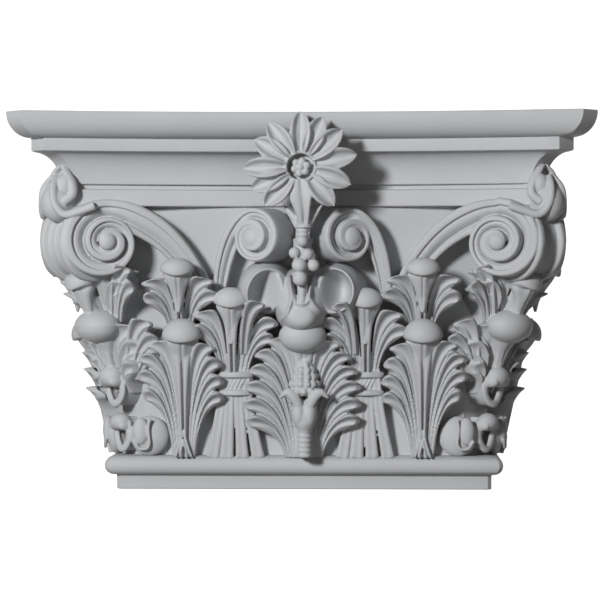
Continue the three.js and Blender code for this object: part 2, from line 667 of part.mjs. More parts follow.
// The beads under the flower, as [share across, height on the bell, radius], and their stem.
const BEADS = [
  [0.01, 0.859, 7], [-0.022, 0.815, 6], [0.034, 0.813, 6.5], [-0.008, 0.767, 8.3], [0.06, 0.765, 7],
  [-0.008, 0.72, 8],
];
const BEAD_STEM = { top: 1.02, foot: 0.6, radius: 6, reach: 0.72 };

function beads() {
  const at = (x, share) => front.place(across(x), HALF_DEPTH + reachOut(BEAD_STEM.reach), rise(share));
  const spine = new THREE.LineCurve3(at(0, BEAD_STEM.foot), at(0, BEAD_STEM.top));
  return [
    ...BEADS.map(([x, z, radius]) => ball(front, at(x, z), radius, radius, radius, 6, 4)),
    ridge(front, spine, ROUND_SECTION, () => BEAD_STEM.radius, () => BEAD_STEM.radius, 1),
  ];
}

// Two horns open upwards and outwards above the middle leaf.
const HORN = {
  x: 0.05, z: 0.55, mouthX: 0.2, mouthZ: 0.77, proud: 0.45, radius: 25, wall: 4.5, footRadius: 10, point: 6,
};

function horn() {
  const foot = front.spot(-across(HORN.x), reachOut(HORN.proud), rise(HORN.z));
  const mouth = front.spot(-across(HORN.mouthX), reachOut(HORN.proud), rise(HORN.mouthZ));
  const axis = mouth.clone().sub(foot);
  const length = axis.length();
  const profile = [
    [0, -HORN.point], [HORN.footRadius, 0], [HORN.radius, length],
    [HORN.radius - HORN.wall, length], [0, length * 0.5],
  ];
  const spine = new THREE.LineCurve3(foot, foot.clone().addScaledVector(axis, 0.7));
  const backing = ridge(front, spine, ROUND_SECTION, (t) => HORN.radius * mix(0.4, 0.6, t), () => 1, 1);
  return [turned(profile, foot, axis, 8), backing];
}

// The bud in front of the middle leaf, as [radius, height on the bell]: a stalk, a bulb, sepals and a berry.
const BUD_PROFILE = [
  [8, 0], [7, 0.11], [13.5, 0.15], [13.5, 0.2], [8, 0.235], [20, 0.275], [14.5, 0.285], [15, 0.33], [9, 0.39],
  [0, 0.415],
];
const BUD_PROUD = 0.3;
const BUD_BACKING = { top: 0.38, halfWidth: 6 };

function bud() {
  const foot = front.spot(0, reachOut(BUD_PROUD), rise(0));
  const profile = BUD_PROFILE.map(([radius, share]) => [radius, share * BELL_HEIGHT]);
  const spine = new THREE.LineCurve3(foot, front.spot(0, reachOut(BUD_PROUD), rise(BUD_BACKING.top)));
  return [
    turned([[0, 0], ...profile], foot, UP, 8),
    ridge(front, spine, ROUND_SECTION, () => BUD_BACKING.halfWidth, () => 1, 1),
  ];
}

// The whole capital

const leftCarving = [
  ...fanLeaf(front, leftLowLeaf), ...fanLeaf(front, leftHighLeaf),
  ...volute(CORNER_VOLUTE), cornerStalk(),
];
const cornerCarving = [
  ...fanLeaf(corner, cornerLeaf), ...fanLeaf(corner, cornerHighLeaf),
  ...fanLeaf(corner, cornerMiddleBud), ...fanLeaf(corner, cornerLowBud),
  cornerScroll(), cornerSpool(), cornerTongue(),
];
const leftMiddleCarving = [...volute(MIDDLE_VOLUTE), middleStalk(), ...horn()];
const frontCarving = [
  ...fanLeaf(front, middleLeaf), ...fanLeaf(front, leftBetweenLeaf), ...fanLeaf(front, rightBetweenLeaf),
  ...sheaf(leftBetweenLeaf), ...sheaf(rightBetweenLeaf), ...flower(), ...beads(), ...bud(),
];
const rightCarving = [...fanLeaf(front, rightLowLeaf), ...fanLeaf(front, rightHighLeaf)];
const rightVolute = [...volute(CORNER_VOLUTE), cornerStalk()];

const room = new THREE.BoxGeometry(TOP_WIDTH * 2, TOP_WIDTH, HEIGHT * 3);
room.translate(0, WALL_Y - TOP_WIDTH / 2, 0);
const whole = join([
  ...[neck(), bell(), abacus(), ...frontCarving, ...rightCarving].map((body) => solid(body)),
  ...leftCarving.flatMap((body) => [asMade, aroundCorner, aroundRight].map((mirror) => solid(body, mirror))),
  ...rightVolute.map((body) => solid(body, mirrored)),
  ...[...cornerCarving, ...leftMiddleCarving].flatMap((body) => [solid(body), solid(body, mirrored)]),
]).intersect(solid(room));

const cut = outerSkin(whole).getMesh();
const closed = outerSkin(solid(closeFacets(cut.vertProperties, cut.triVerts, FACETS))).getMesh();

const castResin = new THREE.MeshStandardMaterial({ color: 0xb4b5b7, roughness: 0.72, metalness: 0 });
const capital = new THREE.Mesh(partFolds(closed.vertProperties, closed.triVerts), castResin);
capital.name = "capital";

const part = new THREE.Group();
part.add(capital);

export default part;
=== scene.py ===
import math

import bmesh
import bpy
import numpy as np
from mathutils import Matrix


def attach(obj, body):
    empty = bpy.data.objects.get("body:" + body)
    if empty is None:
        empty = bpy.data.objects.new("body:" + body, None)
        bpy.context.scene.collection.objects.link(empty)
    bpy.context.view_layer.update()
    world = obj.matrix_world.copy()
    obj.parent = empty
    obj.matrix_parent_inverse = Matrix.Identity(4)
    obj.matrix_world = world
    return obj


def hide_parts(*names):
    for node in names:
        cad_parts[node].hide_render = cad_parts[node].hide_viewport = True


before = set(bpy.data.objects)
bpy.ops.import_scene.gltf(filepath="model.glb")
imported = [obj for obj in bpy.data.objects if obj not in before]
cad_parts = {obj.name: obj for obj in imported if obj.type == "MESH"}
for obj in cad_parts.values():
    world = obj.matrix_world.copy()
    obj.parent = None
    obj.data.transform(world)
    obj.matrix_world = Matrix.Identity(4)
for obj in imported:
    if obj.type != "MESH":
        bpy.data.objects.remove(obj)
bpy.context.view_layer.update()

MM = 0.001
PIECE_TRIANGLES = 195000
VOXEL = 0.76

# The body's main sizes, as in the CAD model
TOP_WIDTH = 610.0
HEIGHT = 397.0
NECK_WIDTH = 400.0
NECK_DEPTH = 110.0
NECK_BLOCK_HEIGHT = 15.5
TORUS_HEIGHT = 20.5
TORUS_REACH = 12.0
TORUS_CORNER = 4.0
BELL_INSET = 4.0
BELL_FLARE = 28.35
BELL_FLARE_POWER = 2.2
BELL_CORNER_CUT = 26.0
OVOLO_HEIGHT = 26.5
FILLET_HEIGHT = 13.5
CAVETTO_HEIGHT = 34.0
QUIRK_HEIGHT = 5.0
LIP_HEIGHT = 18.0
OVOLO_INSET = 23.0
CAVETTO_INSET = 50.0
QUIRK_INSET = 56.0
LIP_INSET = 46.0
ABACUS_HOLLOW = 32.0
CORNER_CHAMFER = 16.0

NECK_HEIGHT = NECK_BLOCK_HEIGHT + TORUS_HEIGHT
BELL_TOP = HEIGHT - OVOLO_HEIGHT - FILLET_HEIGHT - CAVETTO_HEIGHT - QUIRK_HEIGHT - LIP_HEIGHT
BELL_HEIGHT = BELL_TOP - NECK_HEIGHT
HALF_NECK = NECK_WIDTH / 2
HALF_DEPTH = NECK_DEPTH / 2
HALF_TOP = TOP_WIDTH / 2
OVERHANG = HALF_TOP - HALF_NECK
WALL_Y = HALF_DEPTH
FRONT_Y = -HALF_DEPTH - OVERHANG
CORNER_AXIS_X = HALF_DEPTH - HALF_NECK
# The bell's hidden top stands inside the abacus, and a step keeps its back clear of the abacus's back
BELL_INTO_ABACUS = 8.0
BACK_STEP = 0.6

UP = np.array([0.0, 0.0, 1.0])


def vec(*c):
    return np.array(c, dtype=float)


def unit(a):
    return a / np.linalg.norm(a, axis=-1, keepdims=True)


def mix(a, b, t):
    return a + (b - a) * t


def smooth(a, b, t):
    t = np.clip((t - a) / (b - a), 0, 1)
    return t * t * (3 - 2 * t)


def flare_at(z):
    return BELL_FLARE * np.clip((z - NECK_HEIGHT) / BELL_HEIGHT, 0, 1) ** BELL_FLARE_POWER


def bell_out(z):
    return HALF_DEPTH - BELL_INSET + flare_at(z)


# The mirrors that repeat the left half on the right and round the corners
def as_made(p):
    return p


def mirrored(p):
    return p * vec(-1, 1, 1)


def around_corner(p):
    return np.stack([p[:, 1] + CORNER_AXIS_X, p[:, 0] - CORNER_AXIS_X, p[:, 2]], axis=1)


def around_right(p):
    return mirrored(around_corner(p))


BOTH = [as_made, mirrored]
LEFT_AND_SIDES = [as_made, around_corner, around_right]
ALL_FOUR = [*LEFT_AND_SIDES, mirrored]


class Side:
    """A side of the bell. x runs to the right, proud is the distance in front of the bell's surface."""

    def __init__(self, origin_x, direction, surface):
        self.origin = vec(origin_x, 0, 0)
        self.out = unit(direction)
        self.right = np.cross(UP, self.out)
        self.surface = surface

    def spot(self, x, proud, z):
        x, proud, z = np.broadcast_arrays(np.asarray(x, float), proud, z)
        out = self.surface(x, z) + proud
        return self.origin + x[..., None] * self.right + out[..., None] * self.out + z[..., None] * UP

    def proud_of(self, p):
        flat = (p - self.origin) * vec(1, 1, 0)
        return flat @ self.out - self.surface(flat @ self.right, p[..., 2])


front = Side(0, vec(0, -1, 0), lambda x, z: bell_out(z))
corner = Side(CORNER_AXIS_X, vec(-1, -1, 0), lambda x, z:
              bell_out(z) * math.sqrt(2) - np.maximum(BELL_CORNER_CUT / math.sqrt(2), np.abs(x)))


# Shells: closed bodies as points and triangles

def loft(rings):
    """A closed body through rings of equally many points."""
    rings = np.asarray(rings, float)
    count, size = rings.shape[:2]
    hubs = [rings[0].mean(axis=0), rings[-1].mean(axis=0)]
    points = np.concatenate([rings.reshape(-1, 3), hubs])
    row = np.arange(count - 1)[:, None] * size
    here = np.arange(size)
    after = (here + 1) % size
    a, b = row + here, row + after
    c, d = a + size, b + size
    sides = np.concatenate([np.stack([a, b, d], -1).reshape(-1, 3), np.stack([a, d, c], -1).reshape(-1, 3)])
    last = (count - 1) * size
    foot = np.stack([np.full(size, len(points) - 2), after, here], -1)
    head = np.stack([np.full(size, len(points) - 1), last + here, last + after], -1)
    return points, np.concatenate([sides, foot, head])


def ellipsoid(centre, axes, sides=36, rings=18):
    """axes holds the three half axes as rows. The poles lie on the last one."""
    polar = np.linspace(0.02, math.pi - 0.02, rings)
    turn = np.linspace(0, 2 * math.pi, sides, endpoint=False)
    s, c = np.sin(polar)[:, None], np.cos(polar)[:, None]
    local = np.stack([s * np.cos(turn), s * np.sin(turn), c * np.ones(sides)], -1)
    return loft(centre + local @ np.asarray(axes))


def ball(side, centre, rx, ry, rz, sides=36, rings=20):
    return ellipsoid(centre, [side.right * rx, side.out * ry, UP * rz], sides, rings)


def lathe(profile, foot, direction, sides=40):
    """profile is [radius, height] from the foot, along a direction."""
    axis = unit(direction)
    across = unit(np.cross(axis, UP if abs(axis[2]) < 0.9 else vec(0, -1, 0)))
    other = np.cross(axis, across)
    turn = np.linspace(0, 2 * math.pi, sides, endpoint=False)[:, None]
    circle = np.cos(turn) * across + np.sin(turn) * other
    return loft([foot + axis * h + circle * max(r, 0.01) for r, h in profile])


def bezier(points, count):
    """A curve with three or four control points."""
    p = np.asarray(points, float)
    t = np.linspace(0, 1, count)[:, None]
    if len(p) == 4:
        return (1 - t) ** 3 * p[0] + 3 * (1 - t) ** 2 * t * p[1] + 3 * (1 - t) * t ** 2 * p[2] + t ** 3 * p[3]
    return (1 - t) ** 2 * p[0] + 2 * (1 - t) * t * p[1] + t ** 2 * p[2]


def through(points, count):
    """A smooth curve through the points."""
    p = np.asarray(points, float)
    p = np.concatenate([[2 * p[0] - p[1]], p, [2 * p[-1] - p[-2]]])
    place = np.linspace(0, len(p) - 3 - 1e-9, count)
    k = place.astype(int)
    t = (place - k)[:, None] if p.ndim > 1 else place - k
    a, b, c, d = p[k], p[k + 1], p[k + 2], p[k + 3]
    square, cube = 2 * a - 5 * b + 4 * c - d, 3 * b - a - 3 * c + d
    return 0.5 * (2 * b + (c - a) * t + square * t ** 2 + cube * t ** 3)


def frames(path, out):
    """The directions along, across and outwards at each point of a path, without a twist."""
    along = unit(np.gradient(path, axis=0))
    sideways = np.empty_like(path)
    last = np.cross(along[0], out)
    if np.linalg.norm(last) < 0.1:
        last = np.cross(UP, out)
    for i, t in enumerate(along):
        last = unit(last - (last @ t) * t)
        sideways[i] = last
    return along, sideways, np.cross(sideways, along)


def sweep(path, out, section, widths, depths):
    """section points are (u, v): u across in half widths and v outwards in depths. It may vary along."""
    _, sideways, outward = frames(path, out)
    section = np.asarray(section, float)
    if section.ndim == 2:
        section = np.broadcast_to(section, (len(path), *section.shape))
    u = section[..., 0] * np.reshape(widths, (-1, 1))
    v = section[..., 1] * np.reshape(depths, (-1, 1))
    return loft(path[:, None] + u[..., None] * sideways[:, None] + v[..., None] * outward[:, None])


def wall(side, path, widths, drop=1.0):
    """A body that carries a path on the bell."""
    _, sideways, outward = frames(path, side.out)
    w = np.reshape(widths, (-1, 1))
    top = path - outward * drop
    root = (side.proud_of(path) + BELL_INSET)[:, None]
    foot = path - side.out * np.maximum(root, drop + 1)
    across = sideways * w
    return loft(np.stack([top + across, top - across, foot - across, foot + across], 1))


def disc(sides=14):
    turn = np.linspace(0, 2 * math.pi, sides, endpoint=False)
    return np.stack([np.cos(turn), np.sin(turn)], 1)


shells = {"cast_low_leaves": [], "cast_high_leaves": [], "cast_corner_leaves": [], "cast_scrolls": []}


def add(group, bodies, mirrors=(as_made,)):
    """Puts the bodies into a piece's shells, once for each mirror, cut flat at the wall."""
    for points, faces in bodies:
        for mirror in mirrors:
            p = mirror(points)
            p[:, 1] = np.minimum(p[:, 1], WALL_Y)
            shells[group].append((p, faces))


def slab(top, behind):
    """A closed body between two grids of points."""
    rows, columns = top.shape[:2]
    points = np.concatenate([top.reshape(-1, 3), behind.reshape(-1, 3)])
    index = np.arange(rows * columns).reshape(rows, columns)
    back = index + rows * columns
    around = np.concatenate([index[0, :], index[1:, -1], index[-1, -2::-1], index[-2:0:-1, 0]])
    a, b, c, d = index[:-1, :-1], index[:-1, 1:], index[1:, 1:], index[1:, :-1]
    e, f, g, h = back[:-1, :-1], back[:-1, 1:], back[1:, 1:], back[1:, :-1]
    near, after = around, np.roll(around, -1)
    far, far_after = near + rows * columns, after + rows * columns
    facets = [(a, b, c), (a, c, d), (e, g, f), (e, h, g), (near, far, far_after), (near, far_after, after)]
    return points, np.concatenate([np.stack([i.ravel() for i in facet], -1) for facet in facets])


# Leaves

# Across a lobe, from its outer edge to the one next to the stem: place, height in mm along it and at its tip
LOBE = np.array([
    (-1.04, -9.0, -9.0), (-0.96, -7.5, -8.0), (-0.87, -2.8, -5.4), (-0.72, -1.8, -4.4),
    (-0.54, -0.8, -3.2), (-0.42, 0.7, -1.6), (-0.3, -0.9, -2.6), (-0.08, -2.8, -2.8),
    (0.14, -3.0, -1.6), (0.34, -1.6, 1.4), (0.5, 1.0, 4.8), (0.66, 2.6, 7.0),
    (0.8, 2.8, 7.6), (0.9, 1.4, 6.2), (0.97, -5.0, 1.0), (1.04, -9.0, -6.0),
])
LOBE_STEPS = 34
# How far the lobe's edges stay behind its tip, as a share of its length, below and above the tip
NOTCH = 0.24
NOTCH_SHARES = (1.15, 0.7)
# A lobe this wide has its full relief, and a narrower one less
FULL_RELIEF_WIDTH = 13.0
LEAST_RELIEF = 0.36
# The tip curls back by this much, and the blade is this thick where it stands free
TIP_CURL = 5.0
BLADE_THICKNESS = 9.0


def half_leaf(side, x, foot, lean, hand, root, pitch, tips, crown=0.6):
    """Lobes side by side from the stem outwards. Each is a hollow blade with a rolled upper edge.

    tips holds how far each lobe reaches from the stem and its tip's height, from the top lobe down. The lobes
    spring from the foot, from root outwards and a pitch apart. lean is how far the leaf stands out from the
    bell, and crown is the reach of the top lobe's upper edge as a share.
    """
    reach, tip_z = np.array(tips, float).T
    ranks = np.concatenate([[-0.5], np.arange(len(tips)), [len(tips) - 0.5]])
    reach = np.concatenate([[reach[0] * crown], reach, [reach[-1] - 3]])
    tip_z = np.concatenate([[tip_z[0] + 5], tip_z, [tip_z[-1] - 9]])
    t = np.linspace(0, 1, LOBE_STEPS)[:, None]

    def points(rank, t):
        r, z = np.interp(rank, ranks, reach), np.interp(rank, ranks, tip_z)
        start = root + pitch * (rank + 0.5)
        blade = lean * (1 - 0.03 * rank)
        bend = np.interp(rank, [-0.5, 0, 1], [0.2, 0.38, 0.42])
        control = [(start, blade * 0.42, foot - 1.5),
                   (start + 0.06 * r, blade * 0.74, mix(foot, z, 0.62)),
                   (start + bend * (r - start), blade * 1.0, z + 0.08 * (z - foot)),
                   (r, blade * 1.1, z)]
        weights = [(1 - t) ** 3, 3 * (1 - t) ** 2 * t, 3 * (1 - t) * t ** 2, t ** 3]
        along, proud, height = (sum(w * c[k] for w, c in zip(weights, control)) for k in range(3))
        return side.spot(x + hand * along, proud, height)

    parts = []
    for k in range(len(tips)):
        u = LOBE[:, 0]
        end = 1 - NOTCH * np.where(u > 0, NOTCH_SHARES[1], NOTCH_SHARES[0]) * np.abs(u) ** 2.6
        top = points(k - u / 2, t * end)
        width = np.linalg.norm(points(k - 0.5, t) - points(k + 0.5, t), axis=-1)
        full = np.clip(width / FULL_RELIEF_WIDTH, LEAST_RELIEF, 1.0)
        tip = smooth(0.5, 0.95, t)
        height = mix(LOBE[:, 1], LOBE[:, 2], tip) * full - TIP_CURL * smooth(0.93, 1.0, t)
        top = top + height[..., None] * side.out
        whole = side.proud_of(top) + BELL_INSET
        thin = np.minimum(whole, BLADE_THICKNESS)
        thick = np.maximum(mix(whole, thin, smooth(0.55, 0.9, t)), 1)
        parts.append(slab(top, top - thick[..., None] * side.out))
    return parts


# Half of a stem's section, as place across in half widths and height, and the slit in its middle
STEM_RIB = ((-1, -4), (-1, -0.5), (-0.9, 1.2), (-0.62, 2.4), (-0.36, 2.0))
STEM_SLIT_HALF = 1.0
STEM_SLIT_FLOOR = -3.5
STEM_SLIT_EDGE = 1.2


def stem(side, x, foot, top, lean, foot_half, top_half, power=2.4):
    """Two ribs with a slit between them."""
    steps = 30
    path = bezier([
        side.spot(x, lean * 0.5, foot - 1), side.spot(x, lean * 0.78, mix(foot, top, 0.4)),
        side.spot(x, lean * 0.98, mix(foot, top, 0.75)), side.spot(x, lean * 1.08, top),
    ], steps)
    half = mix(foot_half, top_half, np.linspace(0, 1, steps) ** power)
    slit = STEM_SLIT_HALF / half
    section = [np.stack([np.full(steps, place), np.full(steps, height)], -1) for place, height in STEM_RIB]
    section.append(np.stack([-slit - 0.05, np.full(steps, STEM_SLIT_EDGE)], -1))
    section.append(np.stack([-slit, np.full(steps, STEM_SLIT_FLOOR)], -1))
    section += [s * vec(-1, 1) for s in reversed(section)]
    return [sweep(path, side.out, np.stack(section, 1), half, np.ones(steps)),
            wall(side, path, half * 0.85, 3.4)]


# The ribs of the fold at a stem's foot: half width, height and the rib's half thickness
TENT_RIBS = ((8.5, 28, 1.5), (4.2, 18, 1.1))


def foot_tent(side, x, lean):
    """The small pointed fold at the foot of a stem."""
    parts = []
    for reach, height, r in TENT_RIBS:
        for hand in (-1, 1):
            path = through([side.spot(x, lean * 0.56 + 3.2, NECK_HEIGHT + height),
                            side.spot(x + hand * reach * 0.5, lean * 0.52 + 3, NECK_HEIGHT + height * 0.42),
                            side.spot(x + hand * reach, lean * 0.46 + 2, NECK_HEIGHT - 1)], 16)
            parts.append(sweep(path, side.out, disc(8), np.full(16, r), np.full(16, 2.4)))
    return parts


# The trumpet under a knob: height over its lip in mm, and radius as a share of the knob's
TRUMPET = [(5.0, 0.84), (0.0, 0.86), (-2.5, 0.83), (-5.5, 0.74), (-9.0, 0.63), (-13.0, 0.53), (-18.0, 0.44),
           (-24.0, 0.34), (-32.0, 0.22), (-40.0, 0.1)]
TRUMPET_FLUTE = 0.26
TRUMPET_SLIT = 3.4
# The knob's skirt: depth as a share of its lip, and radius as a share of the knob's
SKIRT = ((0.35, 0.99), (0.65, 0.965), (0.85, 0.935), (1.0, 0.885), (1.03, 0.8))
KNOB_DEPTH_SHARE = 0.86
KNOB_SIDES = 60


def knob(side, x, z, proud, rx, rz, lip=7.0, full=False):
    """The leaf's tip, rolled over into a dome with a crisp lower edge, on a fluted trumpet.

    rx and rz are the dome's half width and height, lip is how far its edge hangs down, and a full knob is a
    whole ball.
    """
    ry = rx * KNOB_DEPTH_SHARE
    centre = side.spot(x, proud, z)
    turn = np.linspace(0, 2 * math.pi, KNOB_SIDES, endpoint=False)
    ahead = np.clip(np.sin(turn), 0, 1)
    rim = lip * (0.72 + 0.28 * np.cos(2 * (turn - math.pi / 2)))
    shape = [(math.sin(a), math.cos(a) * rz) for a in np.linspace(0.04, math.pi / 2, 16)]
    shape += [(width, -rim * share) for share, width in SKIRT]
    shape.append((0.3, -rim * 0.8))
    rings = []
    for width, height in shape:
        across, outwards = rx * width * np.cos(turn), ry * width * np.sin(turn)
        flat = across[:, None] * side.right + outwards[:, None] * side.out
        rings.append(centre + flat + np.reshape(height * np.ones(KNOB_SIDES), (-1, 1)) * UP)
    parts = [loft(rings), ball(side, centre, rx * 0.99, ry * 0.99, rz if full else lip)]
    rings = []
    flutes = np.sin(2 * turn) ** 2 * ahead ** 0.3
    slit = np.exp(-((turn - math.pi / 2) / 0.1) ** 2)
    for height, width in TRUMPET:
        deep = smooth(-20, -2, height)
        r = width * rx * (1 - TRUMPET_FLUTE * flutes * deep) - slit * TRUMPET_SLIT * smooth(3, -1, height)
        sunk = 2.5 + ry * 0.1 + 9 * smooth(-2, -30, height)
        middle = centre + UP * (height - lip * 0.75) - side.out * sunk
        rings.append(middle + (r * np.cos(turn))[:, None] * side.right
                     + (r * KNOB_DEPTH_SHARE * np.sin(turn))[:, None] * side.out)
    parts.append(loft(rings))
    spine = np.array([side.spot(x, proud - 4, z + h) for h in (-lip - 28, -lip - 16, -lip - 6, 0, rz * 0.3)])
    parts.append(wall(side, through(spine, 14), np.full(14, rx * 0.3), 5))
    return parts


def leaf(side, x, foot, lean, knob_z, rx, rz, left, right, root=2.6, pitch=2.4, stem_half=3.6, lip=7.0,
         full=False):
    """A whole leaf: both halves, the stem between them and the knob on top."""
    parts = half_leaf(side, x, foot, lean, -1, root, pitch, left)
    parts += half_leaf(side, x, foot, lean, 1, root, pitch, right)
    parts += stem(side, x, foot, knob_z - lip - 8, lean, stem_half, rx * 0.5)
    return parts + knob(side, x, knob_z, lean * 1.12, rx, rz, lip, full)


LOW_OUTER = [(38, 154.5), (47, 139), (48.5, 120), (41.5, 98.5)]
LOW_INNER = [(34.7, 152), (41.5, 133.5), (43.5, 115), (44, 97)]
LOW_LEAN = 34
LOW_KNOB = {"knob_z": 164, "rx": 20.8, "rz": 18.6}


def low_leaf(x, left, right):
    return (leaf(front, x, NECK_HEIGHT, LOW_LEAN, **LOW_KNOB, left=left, right=right)
            + foot_tent(front, x, LOW_LEAN))


add("cast_low_leaves", low_leaf(-127, LOW_OUTER, LOW_INNER), LEFT_AND_SIDES)
add("cast_low_leaves", low_leaf(126.5, LOW_INNER, LOW_OUTER))
add("cast_low_leaves", leaf(
    front, 0.5, NECK_HEIGHT, lean=38, knob_z=164, rx=25, rz=17.5, root=4, pitch=2.7, lip=3, full=True,
    left=[(38, 158.6), (51, 144), (57, 127), (62, 109), (63.5, 90), (60, 72)],
    right=[(40, 155), (51, 141), (58, 126), (61.5, 110), (61.5, 91), (60.4, 74)],
))

# The leaves between them, that rise from the sheaves
BETWEEN_LEFT_X, BETWEEN_RIGHT_X = -75, 66.5
BETWEEN_OUTER = [(40, 187), (45, 168)]
BETWEEN_INNER = [(43, 195), (50, 176), (44, 160)]
BETWEEN = {"foot": 120, "lean": 38, "knob_z": 200.8, "rx": 17.9, "root": 4.5, "pitch": 4, "stem_half": 4.5}
add("cast_high_leaves", leaf(front, BETWEEN_LEFT_X, **BETWEEN, rz=14.5,
                             left=BETWEEN_OUTER, right=BETWEEN_INNER))
add("cast_high_leaves", leaf(front, BETWEEN_RIGHT_X, **BETWEEN, rz=14,
                             left=BETWEEN_INNER, right=BETWEEN_OUTER))

# The high leaves behind the low ones
HIGH = {"foot": 172, "lean": 47, "knob_z": 234, "rz": 12, "root": 4, "pitch": 4.5, "stem_half": 4}
add("cast_high_leaves", leaf(front, -129.7, **HIGH, rx=17.8, left=[(39, 220), (37, 202)],
                             right=[(38, 222), (43, 205)]), LEFT_AND_SIDES)
add("cast_high_leaves", leaf(front, 126, **HIGH, rx=18, left=[(38, 224), (43, 207)],
                             right=[(41, 224), (41, 203)]))

# The corner's own leaves, one above the other
add("cast_corner_leaves", leaf(
    corner, 0, foot=104, lean=36, knob_z=174, rx=26.8, rz=17.5, root=4, pitch=4, stem_half=5, lip=3,
    full=True, left=[(46, 166), (40, 147), (32, 127)], right=[(46, 172), (42, 150), (32, 128)],
), BOTH)
add("cast_corner_leaves", leaf(
    corner, 0, foot=170, lean=50, knob_z=221, rx=17.4, rz=10.5, root=4.5, pitch=5, stem_half=5, lip=9,
    left=[(44, 229), (40, 212)], right=[(47, 233), (46, 214)],
), BOTH)


def little_bud(z, rx, rz, lean):
    """A bud whose cap stands over a dark opening, in a hooked leaf."""
    centre = corner.spot(0, lean, z)
    parts = [ball(corner, centre, rx, rx * 0.9, rz)]
    for hand in (-1, 1):
        cheek = centre + corner.right * hand * rx * 0.62 - UP * rz * 0.45
        parts.append(ball(corner, cheek, rx * 0.42, rx * 0.7, rz * 0.55))
    post = through([corner.spot(0, 4, z - 30), corner.spot(0, lean * 0.4, z - 16),
                    corner.spot(0, lean * 0.7, z)], 14)
    parts.append(sweep(post, corner.out, disc(12), np.full(14, 2.6), np.full(14, 2.6)))
    neck = np.array([corner.spot(0, lean * 0.6, z - 3), corner.spot(0, lean * 0.6, z + 5)])
    parts.append(wall(corner, neck, np.full(2, rx * 0.6), 1))
    # across in the cap's half widths, share of the lean, and height over the cap's middle
    hook = [(-0.72, 0.86, -2), (-0.85, 0.84, -14), (-0.5, 0.86, -25), (0, 0.9, -29), (0.55, 0.86, -25),
            (0.9, 0.84, -14), (0.8, 0.86, 1)]
    path = through([corner.spot(rx * u, lean * share, z + height) for u, share, height in hook], 44)
    parts.append(sweep(path, corner.out, disc(12), np.full(44, 4.2), np.full(44, 3.0)))
    parts.append(wall(corner, path, np.full(44, 2.2), 2))
    return parts


add("cast_corner_leaves", little_bud(z=120.5, rx=14, rz=11.5, lean=28), BOTH)
add("cast_corner_leaves", little_bud(z=72, rx=12, rz=9.5, lean=18), BOTH)

# Broad leaves at the corner, seen edge on
add("cast_corner_leaves", half_leaf(front, -190, foot=118, lean=33, hand=1, root=2, pitch=5.5, crown=0.45,
                                    tips=[(31, 178), (40, 158), (40, 141)]), ALL_FOUR)
add("cast_corner_leaves", half_leaf(front, -205, foot=180, lean=46, hand=1, root=2, pitch=6, crown=0.5,
                                    tips=[(27, 234), (31, 213)]), ALL_FOUR)

# The crease of a curl from its top, across and up in the curl's radii
CREASE = [(0.06, 0.9), (-0.02, 0.5), (0.0, 0.05), (0.04, -0.36), (-0.12, -0.62), (-0.5, -0.6), (-0.8, -0.2)]


def curl(x, z, proud, radius):
    """The heart-shaped curl at the foot of the corner, with a creased fold."""
    middle = front.spot(x, proud, z)
    fold = middle + vec(-0.42, -0.26, 0.26) * radius
    parts = [ball(front, middle - front.out * 3, radius * 0.98, radius * 0.5, radius * 1.02),
             ball(front, fold, radius * 0.42, radius * 0.3, radius * 0.7)]
    path = through([middle + vec(u, 0.18 * abs(u) - 0.5, v) * radius for u, v in CREASE], 36)
    parts.append(sweep(path, front.out, disc(12), np.linspace(1.9, 1.5, 36), np.full(36, 1.6)))
    return parts


add("cast_corner_leaves", curl(-164, z=57, proud=10, radius=21), ALL_FOUR)

# The tied sheaves: how far each blade stands from the middle at its foot and at the tie
SHEAF_X = (-71.5, 66.5)
BLADES = [(-25, -14), (-9.7, -6), (6.6, 3.2), (23.5, 12)]
BLADE_SECTION = [(-1, -2), (-1, 0.6), (-0.88, 2.4), (-0.55, 3.0), (0, 2.2), (0.55, 3.0), (0.88, 2.4),
                 (1, 0.6), (1, -2)]
BAR_SECTION = [(-1, -2), (-1, 0.8), (-0.7, 2.2), (0.7, 2.2), (1, 0.8), (1, -2)]
# The two bars of the tie, as height and half width, and the twisted strands between them
BARS = ((122.5, 3.3), (103.2, 2.9))
TIE_HALF = 18
TIE_MIDDLE_Z = 113
TIE_BEND = 7
STRANDS = 8


def tie_lift(dx, crest):
    """How far the tie stands out, less towards its ends."""
    return crest - (dx / TIE_HALF) ** 2 * TIE_BEND


def sheaf(x):
    parts = []
    for foot, top in BLADES:
        path = through([front.spot(x + foot, 10, 34), front.spot(x + mix(foot, top, 0.5), 14, 66),
                        front.spot(x + mix(foot, top, 0.9), 16, 98), front.spot(x + top * 0.9, 16, 132)], 26)
        half = mix(7.2, 4.0, np.linspace(0, 1, 26) ** 0.7)
        parts.append(sweep(path, front.out, BLADE_SECTION, half, np.ones(26)))
        parts.append(wall(front, path, half * 0.96, 1.8))
    across = np.array([-TIE_HALF, -12, 0, 12, TIE_HALF])
    for z, half in BARS:
        path = through(front.spot(x + across, tie_lift(across, 22), z), 20)
        parts.append(sweep(path, front.out, BAR_SECTION, np.full(20, half), np.full(20, 1.2)))
        parts.append(wall(front, path, np.full(20, half * 0.9), 1.5))
    middle = through(front.spot(x + across, tie_lift(across, 17), TIE_MIDDLE_Z), 20)
    parts.append(wall(front, middle, np.full(20, 8.0), 0.5))
    for dx in np.linspace(-14.5, 14.5, STRANDS):
        lift = tie_lift(dx, 19.2)
        strand = bezier([front.spot(x + dx - 4, lift - 1.5, 105), front.spot(x + dx, lift + 1.6, 112.8),
                         front.spot(x + dx + 4, lift - 1.5, 120.5)], 12)
        parts.append(sweep(strand, front.out, disc(10), np.full(12, 1.5), np.full(12, 2.4)))
    return parts


for x in SHEAF_X:
    add("cast_low_leaves", sheaf(x))

